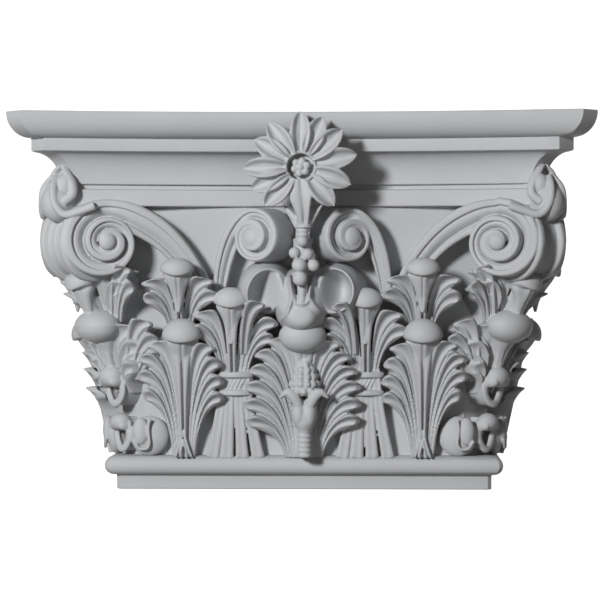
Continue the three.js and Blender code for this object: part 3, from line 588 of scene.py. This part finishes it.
# Volutes: a spiral's radius at each quarter turn, from the top of its outer edge
QUARTER_RADII_LEFT = [44.2, 45.5, 35.8, 30.0, 25.8, 22.8, 20.3, 18.8, 12.5, 9.0, 8.5, 8.5]
QUARTER_RADII_RIGHT = [45.5, 44.0, 36.5, 31.0, 27.0, 24.5, 21.0, 18.0, 12.0, 9.5, 8.5, 8.0]
QUARTER_RADII_MIDDLE = [31.3, 31.4, 25.0, 22.0, 19.3, 17.4, 13.8, 10.8, 7.6, 6.4, 5.4, 4.6]
STEPS_PER_QUARTER = 16
STEPS_PER_TURN = 4 * STEPS_PER_QUARTER
# The inner edge of a band lies a little inside the next turn's outer edge
BAND_OVERLAP = 0.95
RIBBON_STEPS = 40
# The narrow band follows the ribbon for its first steps
NARROW_STEPS = 34
NARROW_SECTION = [(0.0, -3), (0.1, 0.5), (0.5, 1.6), (0.9, 0.5), (1.0, -3)]
# Across a band from its outer edge: share of the width and height over the band's own level
BAND = [(0.0, -5.0), (0.03, -1.6), (0.1, 0.0), (0.33, 0.3), (0.37, -0.4), (0.4, -3.6), (0.46, -4.2),
        (0.52, -2.8), (0.68, -4.0), (0.82, -7.0), (0.93, -11.0), (1.0, -14.0)]
BAND_SHARES, BAND_HEIGHTS = np.array(BAND).T


def spiral(centre, face, right, hand, radii, quarters, lift, back):
    """The coil, in quarter turns. It rises by lift towards its eye and goes back behind its face."""
    radius = through(radii, (len(radii) - 1) * STEPS_PER_QUARTER + 1)
    last = quarters * STEPS_PER_QUARTER
    rings = []
    for i in range(last + 1):
        heading = math.pi / 2 * (1 + i / STEPS_PER_QUARTER)
        ray = right * hand * math.cos(heading) + UP * math.sin(heading)
        after = i + STEPS_PER_TURN
        inner = radius[after] * BAND_OVERLAP if after < len(radius) else 0.0
        if i > last - STEPS_PER_TURN:
            inner = mix(inner, 0.0, smooth(0, 1, (i - (last - STEPS_PER_TURN)) / (STEPS_PER_QUARTER * 1.5)))
        shallow = mix(1.0, 0.35, smooth(last - 5 * STEPS_PER_QUARTER, last - 3 * STEPS_PER_QUARTER, i))
        reach = mix(radius[i], inner, BAND_SHARES)
        ring = centre + reach[:, None] * ray + (lift * i / last + BAND_HEIGHTS * shallow)[:, None] * face
        ends = np.stack([centre + inner * ray - back * face, centre + radius[i] * ray - back * face])
        rings.append(np.concatenate([ring, ends]))
    starts = range(0, last, STEPS_PER_QUARTER)
    return [loft(rings[start:start + STEPS_PER_QUARTER + 1]) for start in starts], radius


def volute(place, turn_deg, hand, radii, quarters, lift, back, eye_rise, edge, width, narrow_width):
    """A ribbon that rises from its foot and winds in a spiral, in one band, with a narrow band below it.

    edge holds the control points of the ribbon's outer edge. place is the middle of the spiral, and its face
    is turned from the front by turn_deg.
    """
    turn = math.radians(turn_deg)
    face = vec(math.sin(turn), -math.cos(turn), 0)
    right = np.cross(UP, face)
    centre = vec(*place)
    parts, radius = spiral(centre, face, right, hand, radii, quarters, lift, back)
    eye = radius[quarters * STEPS_PER_QUARTER] * 1.02
    parts.append(ellipsoid(centre + face * (lift + eye_rise - 6), [right * eye, UP * eye, face * 6]))

    path = bezier([vec(*point) for point in edge], RIBBON_STEPS)
    path[-1] = centre + UP * radius[0]
    t = np.linspace(0, 1, RIBBON_STEPS)
    out = unit(mix(front.out, face, smooth(0.5, 1, t)[:, None]))
    inward = unit(np.cross(unit(np.gradient(path, axis=0)), out)) * -hand
    spread = mix(width * 0.45, width, np.sqrt(np.clip(t * 1.6, 0, 1)))
    spread = mix(spread, radius[0] - radius[STEPS_PER_TURN] * BAND_OVERLAP, smooth(0.72, 1, t))

    def band(start, spreads, shares, heights, least_depth):
        rings = []
        for i in range(len(start)):
            ring = start[i] + (shares * spreads[i])[:, None] * inward[i] + heights[i][:, None] * out[i]
            depth = max(front.proud_of(start[i]) + BELL_INSET, least_depth) * front.out
            rings.append([*ring, start[i] + inward[i] * spreads[i] - depth, start[i] - depth])
        return loft(rings)

    parts.append(band(path, spread, BAND_SHARES, BAND_HEIGHTS * mix(0.55, 1, t)[:, None], 12))
    low = (path + inward * (spread * 0.96)[:, None] - out * 5)[:NARROW_STEPS]
    shares, heights = np.array(NARROW_SECTION).T
    parts.append(band(low, narrow_width * mix(0.45, 1, t), shares, np.tile(heights, (NARROW_STEPS, 1)), 8))
    return parts


CORNER_VOLUTE_Z = 262.8
CORNER_VOLUTE = {
    "place": (-203.6, -117.5, CORNER_VOLUTE_Z), "turn_deg": 17, "hand": 1, "quarters": 9, "lift": 8,
    "back": 40, "eye_rise": 3, "width": 24, "narrow_width": 9,
    "edge": [(-92, -86, 206), (-110, -95, 255), (-146, -112, 308), (-203.6, -117, 307)],
}
MIDDLE_VOLUTE = {
    "place": (-52, -112, 267), "turn_deg": -33, "hand": -1, "quarters": 7, "lift": 5,
    "back": 34, "eye_rise": 2, "width": 17, "narrow_width": 6.5,
    "edge": [(-94, -86, 205), (-96, -94, 245), (-82, -108, 298), (-52, -112, 298.3)],
}
add("cast_scrolls", volute(radii=QUARTER_RADII_LEFT, **CORNER_VOLUTE), LEFT_AND_SIDES)
add("cast_scrolls", volute(radii=QUARTER_RADII_RIGHT, **CORNER_VOLUTE), [mirrored])
add("cast_scrolls", volute(radii=QUARTER_RADII_MIDDLE, **MIDDLE_VOLUTE), BOTH)


# The spool between each pair of corner volutes: radius, and place along its axis
SPOOL_HALF = [(36.5, 1.6), (35.5, 4), (36.5, 11), (40.5, 12.5), (42, 14), (42, 18.5), (40, 20.5), (0, 20.5)]
SPOOL_OUT_SHARE = 0.31


def spool():
    distance = (HALF_DEPTH + SPOOL_OUT_SHARE * OVERHANG) * math.sqrt(2)
    middle = corner.origin + corner.out * distance + UP * CORNER_VOLUTE_Z
    profile = [(r, -along) for r, along in reversed(SPOOL_HALF)] + [(34, 0)] + SPOOL_HALF
    return [lathe(profile, middle, corner.right, 72)]


add("cast_scrolls", spool(), BOTH)

# The folded leaf above the spool: its folds' edges, as across, distance from the corner's axis, and height
TONGUE_UPPER = [(2, 150, 342), (10, 152, 335), (18, 151, 324), (20, 152, 312), (14, 160, 303)]
TONGUE_TIP = [(0, 0), (13, 0), (14, 10), (9, 24), (4, 36), (0, 38)]
TONGUE_LOWER = [(3, 160, 330), (8, 168, 318), (11, 168, 302), (18, 161, 291), (30, 149, 295), (40, 139, 300)]


def tongue():
    def at(across, distance, height):
        return corner.origin + corner.right * across + corner.out * distance + UP * height

    parts = [ball(corner, at(0, 156, 304), 17, 19, 21),
             lathe(TONGUE_TIP, at(0, 152, 308), vec(0.25, 0.25, 1))]
    for hand in (-1, 1):
        upper = through([at(hand * across, *rest) for across, *rest in TONGUE_UPPER], 30)
        lower = through([at(hand * across, *rest) for across, *rest in TONGUE_LOWER], 40)
        parts.append(sweep(upper, corner.out, disc(12), np.linspace(2.6, 4.4, 30), np.full(30, 5.0)))
        parts.append(sweep(lower, corner.out, disc(12), np.linspace(3.4, 4.6, 40), np.full(40, 4.6)))
        parts.append(ball(corner, at(9 * hand, 152, 322), 10, 12, 12))
    parts.append(lathe([(0, 0), (13, 0), (13, 54), (0, 54)], at(0, 134, 286), UP))
    return parts


add("cast_scrolls", tongue(), BOTH)

# The flower: each petal by its heading in degrees and its length
FLOWER_CENTRE = vec(0, -144, 338.5)
PETALS = [(90, 58), (126, 57), (149, 56), (181, 60), (204, 56), (227, 54), (311, 53), (341, 55), (13, 60),
          (42, 58), (66, 57)]
# Along a petal: distance as a share of its length and rise, then place and half width
PETAL_RISE = [(0.24, 4.5), (0.42, 8), (0.66, 8), (0.87, 4), (1.0, -2)]
PETAL_HALF_WIDTHS = [(0, 4.2), (0.1, 6.0), (0.26, 9.2), (0.42, 11.0), (0.56, 10.6), (0.7, 8.2), (0.84, 4.6),
                     (0.94, 1.8), (1, 0.3)]
PETAL_SECTION = [(-0.8, -8.5), (-1, -1), (-1, 3.4), (-0.87, 4.8), (-0.68, 3.6), (-0.42, -1.6), (0, -4.0),
                 (0.42, -1.6), (0.68, 3.6), (0.87, 4.8), (1, 3.4), (1, -1), (0.8, -8.5)]
# Every other petal lies this much further out
PETAL_LIFT = 1.6
PETAL_STEPS = 30
BOSS = [(0, 0), (30, 0), (26, 24), (21, 36), (16, 40), (0, 40)]
BOSS_DEPTH = 46
RING_RADIUS = 15.2
SEEDS = 6
SEED_CIRCLE_RADIUS = 6.6
SHEATH_SECTION = [(-1, -5), (-1, 1), (-0.84, 2.6), (-0.5, 1.6), (-0.2, 0.6), (0, 1.4), (0.2, 2.6), (0.6, 2.6),
                  (0.86, 1.6), (1, 0), (1, -5)]


def ray_at(heading):
    """A direction in the flower's plane."""
    return vec(math.cos(heading), 0, math.sin(heading))


def petal(heading, length, lift):
    path = through([FLOWER_CENTRE + ray_at(heading) * length * share + front.out * (rise + lift)
                    for share, rise in PETAL_RISE], PETAL_STEPS)
    half = np.interp(np.linspace(0, 1, PETAL_STEPS), *np.array(PETAL_HALF_WIDTHS).T)
    return sweep(path, front.out, PETAL_SECTION, half, np.clip(half / 9, 0.25, 1))


def flower():
    parts = [petal(math.radians(degrees), length, PETAL_LIFT * (k % 2))
             for k, (degrees, length) in enumerate(PETALS)]
    parts.append(lathe(BOSS, FLOWER_CENTRE - front.out * BOSS_DEPTH, front.out))
    turns = np.linspace(0, 2 * math.pi, 48)
    ring = np.array([FLOWER_CENTRE + front.out + RING_RADIUS * ray_at(turn) for turn in turns])
    parts.append(sweep(ring, front.out, disc(10), np.full(48, 1.7), np.full(48, 7)))
    for k in range(SEEDS):
        seed = FLOWER_CENTRE + ray_at(math.pi * 2 * k / SEEDS + 0.3) * SEED_CIRCLE_RADIUS + front.out * 2
        parts.append(ball(front, seed, 3.9, 4.2, 3.9, 18, 12))
    parts.append(ball(front, FLOWER_CENTRE + front.out * 3.5, 3.6, 4, 3.6, 18, 12))
    # the sheath of its stem, with a small leaf on either side
    path = through([vec(-1, -150, 326), vec(0, -153, 310), vec(2, -150, 294), vec(3, -143, 278)], 26)
    half = through(np.array([6, 11.5, 8.0, 4.6]), 26)
    parts.append(sweep(path, front.out, SHEATH_SECTION, half, np.ones(26)))
    parts.append(lathe([(0, 0), (9, 0), (5, 44), (0, 44)], vec(3, -138, 276), UP))
    for hand in (-1, 1):
        path = through([vec(2 + 3 * hand, -138, 274), vec(2 + 9 * hand, -139, 286),
                        vec(2 + 20 * hand, -136, 300)], 20)
        half = 4.2 * np.sin(math.pi * np.linspace(0.25, 0.96, 20))
        parts.append(sweep(path, front.out, SHEATH_SECTION, half, np.full(20, 0.8)))
    return parts


add("cast_scrolls", flower())

# The beads under it, as place and radius, and the rings of the stem that they hang on
BEADS = [(1.4, -137, 262.8, 6.3), (6.8, -137, 249.1, 6.2), (-6.9, -133, 250.5, 6.0), (-1.6, -139, 237.6, 7.9),
         (12.8, -135, 237.6, 6.4), (-0.9, -137, 223.9, 7.9)]
COLLAR_RING = [(0, 0), (5.4, 0), (6.4, 1.2), (6.4, 2.4), (5.4, 3.6), (0, 3.6)]
STEM_RING = [(0, 0), (3.4, 0), (4.3, 0.9), (4.3, 2), (3.4, 2.9), (0, 2.9)]


def beads():
    parts = [ball(front, vec(x, y, z), r, r, r, 28, 18) for x, y, z, r in BEADS]
    parts.append(lathe([(0, 0), (4, 0), (5, 20), (7, 45), (6, 100), (0, 100)], vec(0.5, -126, 196), UP))
    parts.append(lathe([(0, 0), (10, 0), (10, 34), (0, 34)], vec(1, -110, 232), UP))
    parts += [lathe(COLLAR_RING, vec(2, -138, z), UP) for z in (267, 271.5, 276)]
    parts += [lathe(STEM_RING, vec(0.6, -128, z), UP) for z in np.arange(197, 217, 3.2)]
    return parts


add("cast_scrolls", beads())

# The two horns above the middle leaf, and the sheath between them, as a front whose depth is carved.
# Mounds: middle x and z, half width and height, and how far they stand out from the part's middle plane
MOUNDS = [(-38.5, 214.5, 30.5, 30.5, 126), (37, 212, 31.5, 31, 126), (-0.5, 200, 33, 38, 128),
          (-0.5, 186, 25, 22, 130)]
# Hollows: middle x and z, half width and height, and the floor as two places across with its depth at each
HOLLOWS = [(-33.5, 206, 21.5, 26.5, (-52, 90), (-11, 125)), (31.5, 211.5, 21, 22, (13, 123), (47, 86))]
NOTCH_MIDDLE = (0.2, 204.5)
NOTCH_HALF = 5.2
NOTCH_SPREAD = 0.28
NOTCH_FLOOR = 106
HORNS_FOOT = 50
# The front's grid: its ends across and in height, and how many lines each way
HORNS_ACROSS = (-72, 72, 193)
HORNS_UP = (168, 248, 108)
# Rims: height, place and breadth, in shares of a hollow's size and in mm beside the notch
HOLLOW_RIM = (4.0, 1.09, 0.075)
NOTCH_RIM = (3.4, 2.4, 1.9)
# A rim runs only where the front stands out this far
RIM_FROM = 96


def horns():
    """Mounds with a hollow in either horn and a notch for the beads, each with a rim."""
    x, z = np.meshgrid(np.linspace(*HORNS_ACROSS), np.linspace(*HORNS_UP))

    def mound(middle_x, middle_z, rx, rz, top):
        far = np.hypot((x - middle_x) / rx, (z - middle_z) / rz)
        return HORNS_FOOT + (top - HORNS_FOOT) * np.sqrt(np.clip(1 - far ** 4, 0, 1))

    def rim(far, height, crest, place, breadth):
        return crest * np.exp(-((far - place) / breadth) ** 2) * (height > RIM_FROM)

    height = np.maximum.reduce([mound(*form) for form in MOUNDS])
    for middle_x, middle_z, rx, rz, (first_x, first), (last_x, last) in HOLLOWS:
        far = np.hypot((x - middle_x) / rx, (z - middle_z) / rz)
        floor = mix(first, last, smooth(first_x, last_x, x))
        sunk = height - (height - floor) * np.sqrt(np.clip(1 - far ** 3, 0, 1))
        height = np.where(far < 1, np.minimum(height, sunk), height) + rim(far, height, *HOLLOW_RIM)
    over = np.clip(z - NOTCH_MIDDLE[1], 0, None)
    under = np.clip(z - NOTCH_MIDDLE[1], None, 0)
    beside = np.hypot(x - NOTCH_MIDDLE[0], under) - NOTCH_HALF - NOTCH_SPREAD * over
    raised = height + rim(beside, height, *NOTCH_RIM)
    height = np.where(beside < 0, np.minimum(height, NOTCH_FLOOR), raised)
    return [slab(np.stack([x, -height, z], -1), np.stack([x, np.full(x.shape, 6 - HORNS_FOOT), z], -1))]


add("cast_scrolls", horns())

# The tips of the leaves beside them, that roll over in front of the horns
ROLLED = {"foot": 146, "lean": 62, "root": 9, "pitch": 9, "crown": 0.7}
add("cast_high_leaves", half_leaf(front, BETWEEN_LEFT_X, hand=1, tips=[(38, 197)], **ROLLED))
add("cast_high_leaves", half_leaf(front, BETWEEN_RIGHT_X, hand=-1, tips=[(36, 195)], **ROLLED))

# The bud in front of the middle leaf, and its rows of berries: height, the row's radius and how many
BUD_X, BUD_Y = 2.0, -90
BERRY_ROWS = [(106, 13.4, 12), (113.5, 13.2, 12), (121, 11.2, 10), (128, 8.2, 8), (134.5, 5, 5),
              (140, 1.5, 2)]
SEPAL = [(5, -10, 90), (11, -13, 101), (18, -13, 105), (25, -10, 99)]
STALK_RING = [(0, 0), (6.2, 0), (7.6, 1.4), (7.6, 3.4), (6.2, 4.8), (0, 4.8)]
STALK_RINGS = 6
STALK_PITCH = 5.1
BERRY = (3.9, 3.9, 4.1)


def bud():
    def at(across, forwards, z):
        return vec(BUD_X + across, BUD_Y + forwards, z)

    parts = []
    for k, (z, r, count) in enumerate(BERRY_ROWS):
        for i in range(count):
            a = 2 * math.pi * (i + 0.5 * (k % 2)) / count
            parts.append(ball(front, at(r * math.cos(a), r * math.sin(a), z), *BERRY, 16, 12))
    parts.append(lathe([(0, 0), (12, 0), (12, 16), (8, 28), (3, 38), (0, 40)], at(0, 0, 101), UP))
    for hand in (-1, 1):
        path = through([at(hand * across, *rest) for across, *rest in SEPAL], 22)
        half = 5.4 * np.sin(math.pi * np.linspace(0.3, 0.93, 22))
        parts.append(sweep(path, front.out, disc(), half, np.full(22, 3.6)))
        parts.append(ball(front, at(hand * 5.6, -2, 84), 8.2, 12, 16))
    parts.append(lathe([(0, 0), (7, 0), (11, 6), (12, 14), (11, 26), (0, 30)], at(0, -0.5, 65), UP))
    parts += [lathe(STALK_RING, at(0, 1, NECK_HEIGHT + k * STALK_PITCH), UP) for k in range(STALK_RINGS)]
    spine = np.linspace(at(0, 6, NECK_HEIGHT), at(0, 6, 128), 12)
    parts.append(wall(front, spine, np.full(12, 8.0)))
    return parts


add("cast_low_leaves", bud())


# The exact bodies: neck and bell, and the abacus

def block_plan(z, half_width, front_out, cut, wall_y=WALL_Y):
    """A ring round a block with its two front corners cut."""
    corner_points = [(-half_width, cut - front_out), (cut - half_width, -front_out)]
    left = [(-half_width, wall_y)] + corner_points
    points = left + [(-x, y) for x, y in reversed(left)]
    return np.array([(x, y, z) for x, y in points])


def neck_and_bell():
    radius = TORUS_HEIGHT / 2
    levels = [(0, -1.0), (1.0, 0), (NECK_BLOCK_HEIGHT - 1, 0), (NECK_BLOCK_HEIGHT + 0.3, 0.6)]
    for angle in np.radians(np.linspace(-76, 76, 17)):
        levels.append((NECK_BLOCK_HEIGHT + radius * (1 + math.sin(angle)),
                       TORUS_REACH - radius * (1 - math.cos(angle))))
    levels.append((NECK_HEIGHT, 0))
    rings = [block_plan(z, HALF_NECK + reach, HALF_DEPTH + reach, TORUS_CORNER) for z, reach in levels]
    for z in np.linspace(NECK_HEIGHT + 0.5, BELL_TOP + BELL_INTO_ABACUS, 24):
        reach = flare_at(min(z, BELL_TOP)) - BELL_INSET
        wall_y = WALL_Y - (BACK_STEP if z > BELL_TOP else 0)
        rings.append(block_plan(z, HALF_NECK + reach, HALF_DEPTH + reach, BELL_CORNER_CUT, wall_y))
    return loft(rings)


def abacus_plan(z, inset):
    """A ring round the abacus, whose front and sides are hollow arcs."""
    edge = HALF_TOP - inset
    front_y = FRONT_Y + inset
    side_length = WALL_Y - front_y - CORNER_CHAMFER
    half_arc = HALF_TOP - CORNER_CHAMFER
    side = []
    for t in np.linspace(1, 0, 25):
        hollow = ABACUS_HOLLOW * (1 - (1 - side_length * t / half_arc) ** 2)
        side.append((hollow - edge, WALL_Y - side_length * (1 - t), z))
    arc = []
    for share in np.linspace(-1, 1, 81):
        arc.append((share * (edge - CORNER_CHAMFER), front_y + ABACUS_HOLLOW * (1 - share ** 2), z))
    return np.array(side + arc + [(-x, y, z) for x, y, z in reversed(side)])


def abacus():
    """Lip, quirk, cavetto, fillet and ovolo, as height and inset from the widest edge."""
    ovolo_foot = HEIGHT - OVOLO_HEIGHT
    fillet_foot = ovolo_foot - FILLET_HEIGHT
    cavetto_foot = fillet_foot - CAVETTO_HEIGHT
    lip_top = cavetto_foot - QUIRK_HEIGHT
    lip_foot = lip_top - LIP_HEIGHT
    levels = [(lip_foot, LIP_INSET + 4), (lip_foot + 0.3, LIP_INSET + 1), (lip_foot + 1.2, LIP_INSET),
              (lip_top - 2.5, LIP_INSET), (lip_top - 0.8, LIP_INSET + 0.8), (lip_top, LIP_INSET + 3),
              (lip_top + 0.4, QUIRK_INSET), (cavetto_foot, QUIRK_INSET),
              (cavetto_foot + 0.3, CAVETTO_INSET + 0.6), (cavetto_foot + 1, CAVETTO_INSET)]
    for angle in np.radians(np.linspace(4, 88, 22)):
        levels.append((cavetto_foot + 1 + (CAVETTO_HEIGHT - 2) * math.sin(angle),
                       mix(CAVETTO_INSET, OVOLO_INSET + 2.6, 1 - math.cos(angle))))
    levels += [(fillet_foot - 0.3, OVOLO_INSET + 1.2), (fillet_foot + 0.1, OVOLO_INSET + 0.3),
               (fillet_foot + 0.9, OVOLO_INSET), (ovolo_foot - 0.8, OVOLO_INSET),
               (ovolo_foot - 0.1, OVOLO_INSET - 0.5)]
    for angle in np.radians(np.linspace(2, 90, 20)):
        levels.append((ovolo_foot + (OVOLO_HEIGHT - 1.2) * (1 - math.cos(angle)),
                       0.1 + (OVOLO_INSET - 1.5) * (1 - math.sin(angle))))
    levels += [(HEIGHT - 0.9, 0.0), (HEIGHT - 0.25, 0.4), (HEIGHT, 1.4)]
    return loft([abacus_plan(z, inset) for z, inset in levels])


# Meshes

SHARP_ANGLE = 28


def new_mesh(name, bodies):
    points, faces, start = [], [], 0
    for p, f in bodies:
        points.append(p)
        faces.append(f + start)
        start += len(p)
    points = np.concatenate(points) * MM
    faces = np.concatenate(faces).astype(np.int32)
    mesh = bpy.data.meshes.new(name)
    mesh.vertices.add(len(points))
    mesh.vertices.foreach_set("co", points.astype(np.float32).ravel())
    mesh.loops.add(faces.size)
    mesh.loops.foreach_set("vertex_index", faces.ravel())
    mesh.polygons.add(len(faces))
    mesh.polygons.foreach_set("loop_start", np.arange(0, faces.size, 3, dtype=np.int32))
    mesh.update(calc_edges=True)
    mesh.validate()
    return mesh


def new_object(name, mesh):
    piece = bpy.data.objects.new(name, mesh)
    bpy.context.scene.collection.objects.link(piece)
    return piece


def baked(piece):
    """Applies the piece's modifiers to its mesh."""
    graph = bpy.context.evaluated_depsgraph_get()
    mesh = bpy.data.meshes.new_from_object(piece.evaluated_get(graph))
    old = piece.data
    piece.modifiers.clear()
    piece.data = mesh
    bpy.data.meshes.remove(old)
    mesh.name = piece.name


def cast(name, bodies):
    """One closed skin round all the bodies, with softened joins."""
    piece = new_object(name, new_mesh(name, bodies))
    skin = piece.modifiers.new("skin", "REMESH")
    skin.mode = "VOXEL"
    skin.voxel_size = VOXEL * MM
    skin.use_smooth_shade = True
    soften = piece.modifiers.new("soften", "SMOOTH")
    soften.factor = 0.5
    soften.iterations = 1
    baked(piece)
    count = sum(len(p.vertices) - 2 for p in piece.data.polygons)
    thin = piece.modifiers.new("thin", "DECIMATE")
    thin.ratio = min(1.0, PIECE_TRIANGLES / count)
    baked(piece)
    print(name, count, "to", len(piece.data.polygons))
    return piece


def exact(name, body):
    """A body as it is, smooth but for its sharp edges."""
    piece = new_object(name, new_mesh(name, [body]))
    bm = bmesh.new()
    bm.from_mesh(piece.data)
    bmesh.ops.recalc_face_normals(bm, faces=bm.faces)
    bm.to_mesh(piece.data)
    bm.free()
    piece.data.polygons.foreach_set("use_smooth", [True] * len(piece.data.polygons))
    piece.data.set_sharp_from_angle(angle=math.radians(SHARP_ANGLE))
    return piece


pieces = [
    exact("cast_body", neck_and_bell()),
    exact("cast_abacus", abacus()),
    *(cast(name, bodies) for name, bodies in shells.items()),
]


# Material: a sprayed primer on moulded resin

def primer():
    material = bpy.data.materials.new("primed_resin")
    material.use_nodes = True
    nodes, links = material.node_tree.nodes, material.node_tree.links
    shader = nodes["Principled BSDF"]
    place = nodes.new("ShaderNodeTexCoord")

    def noise(scale, detail, rough=0.5):
        node = nodes.new("ShaderNodeTexNoise")
        node.inputs["Scale"].default_value = scale
        node.inputs["Detail"].default_value = detail
        node.inputs["Roughness"].default_value = rough
        links.new(place.outputs["Object"], node.inputs["Vector"])
        return node

    clouds = noise(9, 4)
    ramp = nodes.new("ShaderNodeValToRGB")
    ramp.color_ramp.elements[0].position = 0.3
    ramp.color_ramp.elements[0].color = (0.440, 0.446, 0.455, 1)
    ramp.color_ramp.elements[1].position = 0.7
    ramp.color_ramp.elements[1].color = (0.476, 0.482, 0.490, 1)
    links.new(clouds.outputs["Fac"], ramp.inputs["Fac"])
    links.new(ramp.outputs["Color"], shader.inputs["Base Color"])

    patches = noise(60, 3)
    rough = nodes.new("ShaderNodeMapRange")
    rough.inputs["To Min"].default_value = 0.58
    rough.inputs["To Max"].default_value = 0.74
    links.new(patches.outputs["Fac"], rough.inputs["Value"])
    links.new(rough.outputs["Result"], shader.inputs["Roughness"])

    grain = noise(1500, 2, 0.6)
    orange_peel = noise(260, 3)
    both = nodes.new("ShaderNodeMath")
    both.operation = "MULTIPLY_ADD"
    both.inputs[1].default_value = 0.35
    links.new(grain.outputs["Fac"], both.inputs[0])
    links.new(orange_peel.outputs["Fac"], both.inputs[2])
    bump = nodes.new("ShaderNodeBump")
    bump.inputs["Strength"].default_value = 0.22
    bump.inputs["Distance"].default_value = 0.0004
    links.new(both.outputs["Value"], bump.inputs["Height"])
    links.new(bump.outputs["Normal"], shader.inputs["Normal"])
    shader.inputs["Specular IOR Level"].default_value = 0.4
    return material


finish = primer()
for piece in pieces:
    piece.data.materials.clear()
    piece.data.materials.append(finish)
    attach(piece, "root")
    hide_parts("capital")


# Stage, in metres: a white floor that curves up into the backdrop
FLOOR_Z = -0.0005
FLOOR_NEAR_Y = -6.0
FLOOR_FAR_Y = 3.4
FLOOR_HALF_WIDTH = 8
BACKDROP_RADIUS = 0.8
BACKDROP_TOP = 5.0


def sweep_floor():
    profile = [(FLOOR_NEAR_Y, FLOOR_Z), (FLOOR_FAR_Y, FLOOR_Z)]
    for angle in np.radians(np.linspace(0, 90, 16))[1:]:
        profile.append((FLOOR_FAR_Y + BACKDROP_RADIUS * math.sin(angle),
                        FLOOR_Z + BACKDROP_RADIUS * (1 - math.cos(angle))))
    profile.append((FLOOR_FAR_Y + BACKDROP_RADIUS, BACKDROP_TOP))
    verts = [(x, y, z) for y, z in profile for x in (-FLOOR_HALF_WIDTH, FLOOR_HALF_WIDTH)]
    faces = [(2 * i, 2 * i + 1, 2 * i + 3, 2 * i + 2) for i in range(len(profile) - 1)]
    mesh = bpy.data.meshes.new("floor")
    mesh.from_pydata(verts, [], faces)
    mesh.polygons.foreach_set("use_smooth", [True] * len(faces))
    floor = new_object("floor", mesh)
    paper = bpy.data.materials.new("white_paper")
    paper.use_nodes = True
    shader = paper.node_tree.nodes["Principled BSDF"]
    shader.inputs["Base Color"].default_value = (0.93, 0.93, 0.93, 1)
    shader.inputs["Roughness"].default_value = 0.9
    shader.inputs["Emission Color"].default_value = (1, 1, 1, 1)
    shader.inputs["Emission Strength"].default_value = 1.0
    mesh.materials.append(paper)
    floor.visible_diffuse = False


sweep_floor()


# Light and camera, in metres

def area_light(name, place, target, size, power):
    data = bpy.data.lights.new(name, "AREA")
    data.shape = "DISK"
    data.size = size
    data.energy = power
    light = new_object(name, data)
    direction = vec(*target) - vec(*place)
    pitch = math.acos(-direction[2] / np.linalg.norm(direction))
    light.location = place
    light.rotation_euler = (pitch, 0, math.atan2(direction[1], direction[0]) - math.pi / 2)


MIDDLE = (0, -0.08, 0.2)
area_light("key", (-1.1, -2.3, 0.85), MIDDLE, size=0.4, power=64)
area_light("fill", (1.2, -2.6, 0.5), MIDDLE, size=1.0, power=3)

world = bpy.data.worlds.new("studio")
world.use_nodes = True
world.node_tree.nodes["Background"].inputs["Color"].default_value = (1, 1, 1, 1)
world.node_tree.nodes["Background"].inputs["Strength"].default_value = 0.04
bpy.context.scene.world = world
bpy.context.scene.view_settings.view_transform = "Standard"

# The camera stands a little to the right of the middle and is turned to the middle of the carving
CAMERA_X = 0.087
CAMERA_Y = -2.665
CAMERA_Z = 0.2018
AIM_DISTANCE = 2.5
camera_data = bpy.data.cameras.new("camera")
camera_data.lens = 147
camera_data.sensor_width = 36
camera_data.clip_end = 50
camera = new_object("camera", camera_data)
camera.location = (CAMERA_X, CAMERA_Y, CAMERA_Z)
camera.rotation_euler = (math.radians(90), 0, math.atan2(CAMERA_X, AIM_DISTANCE))
bpy.context.scene.camera = camera
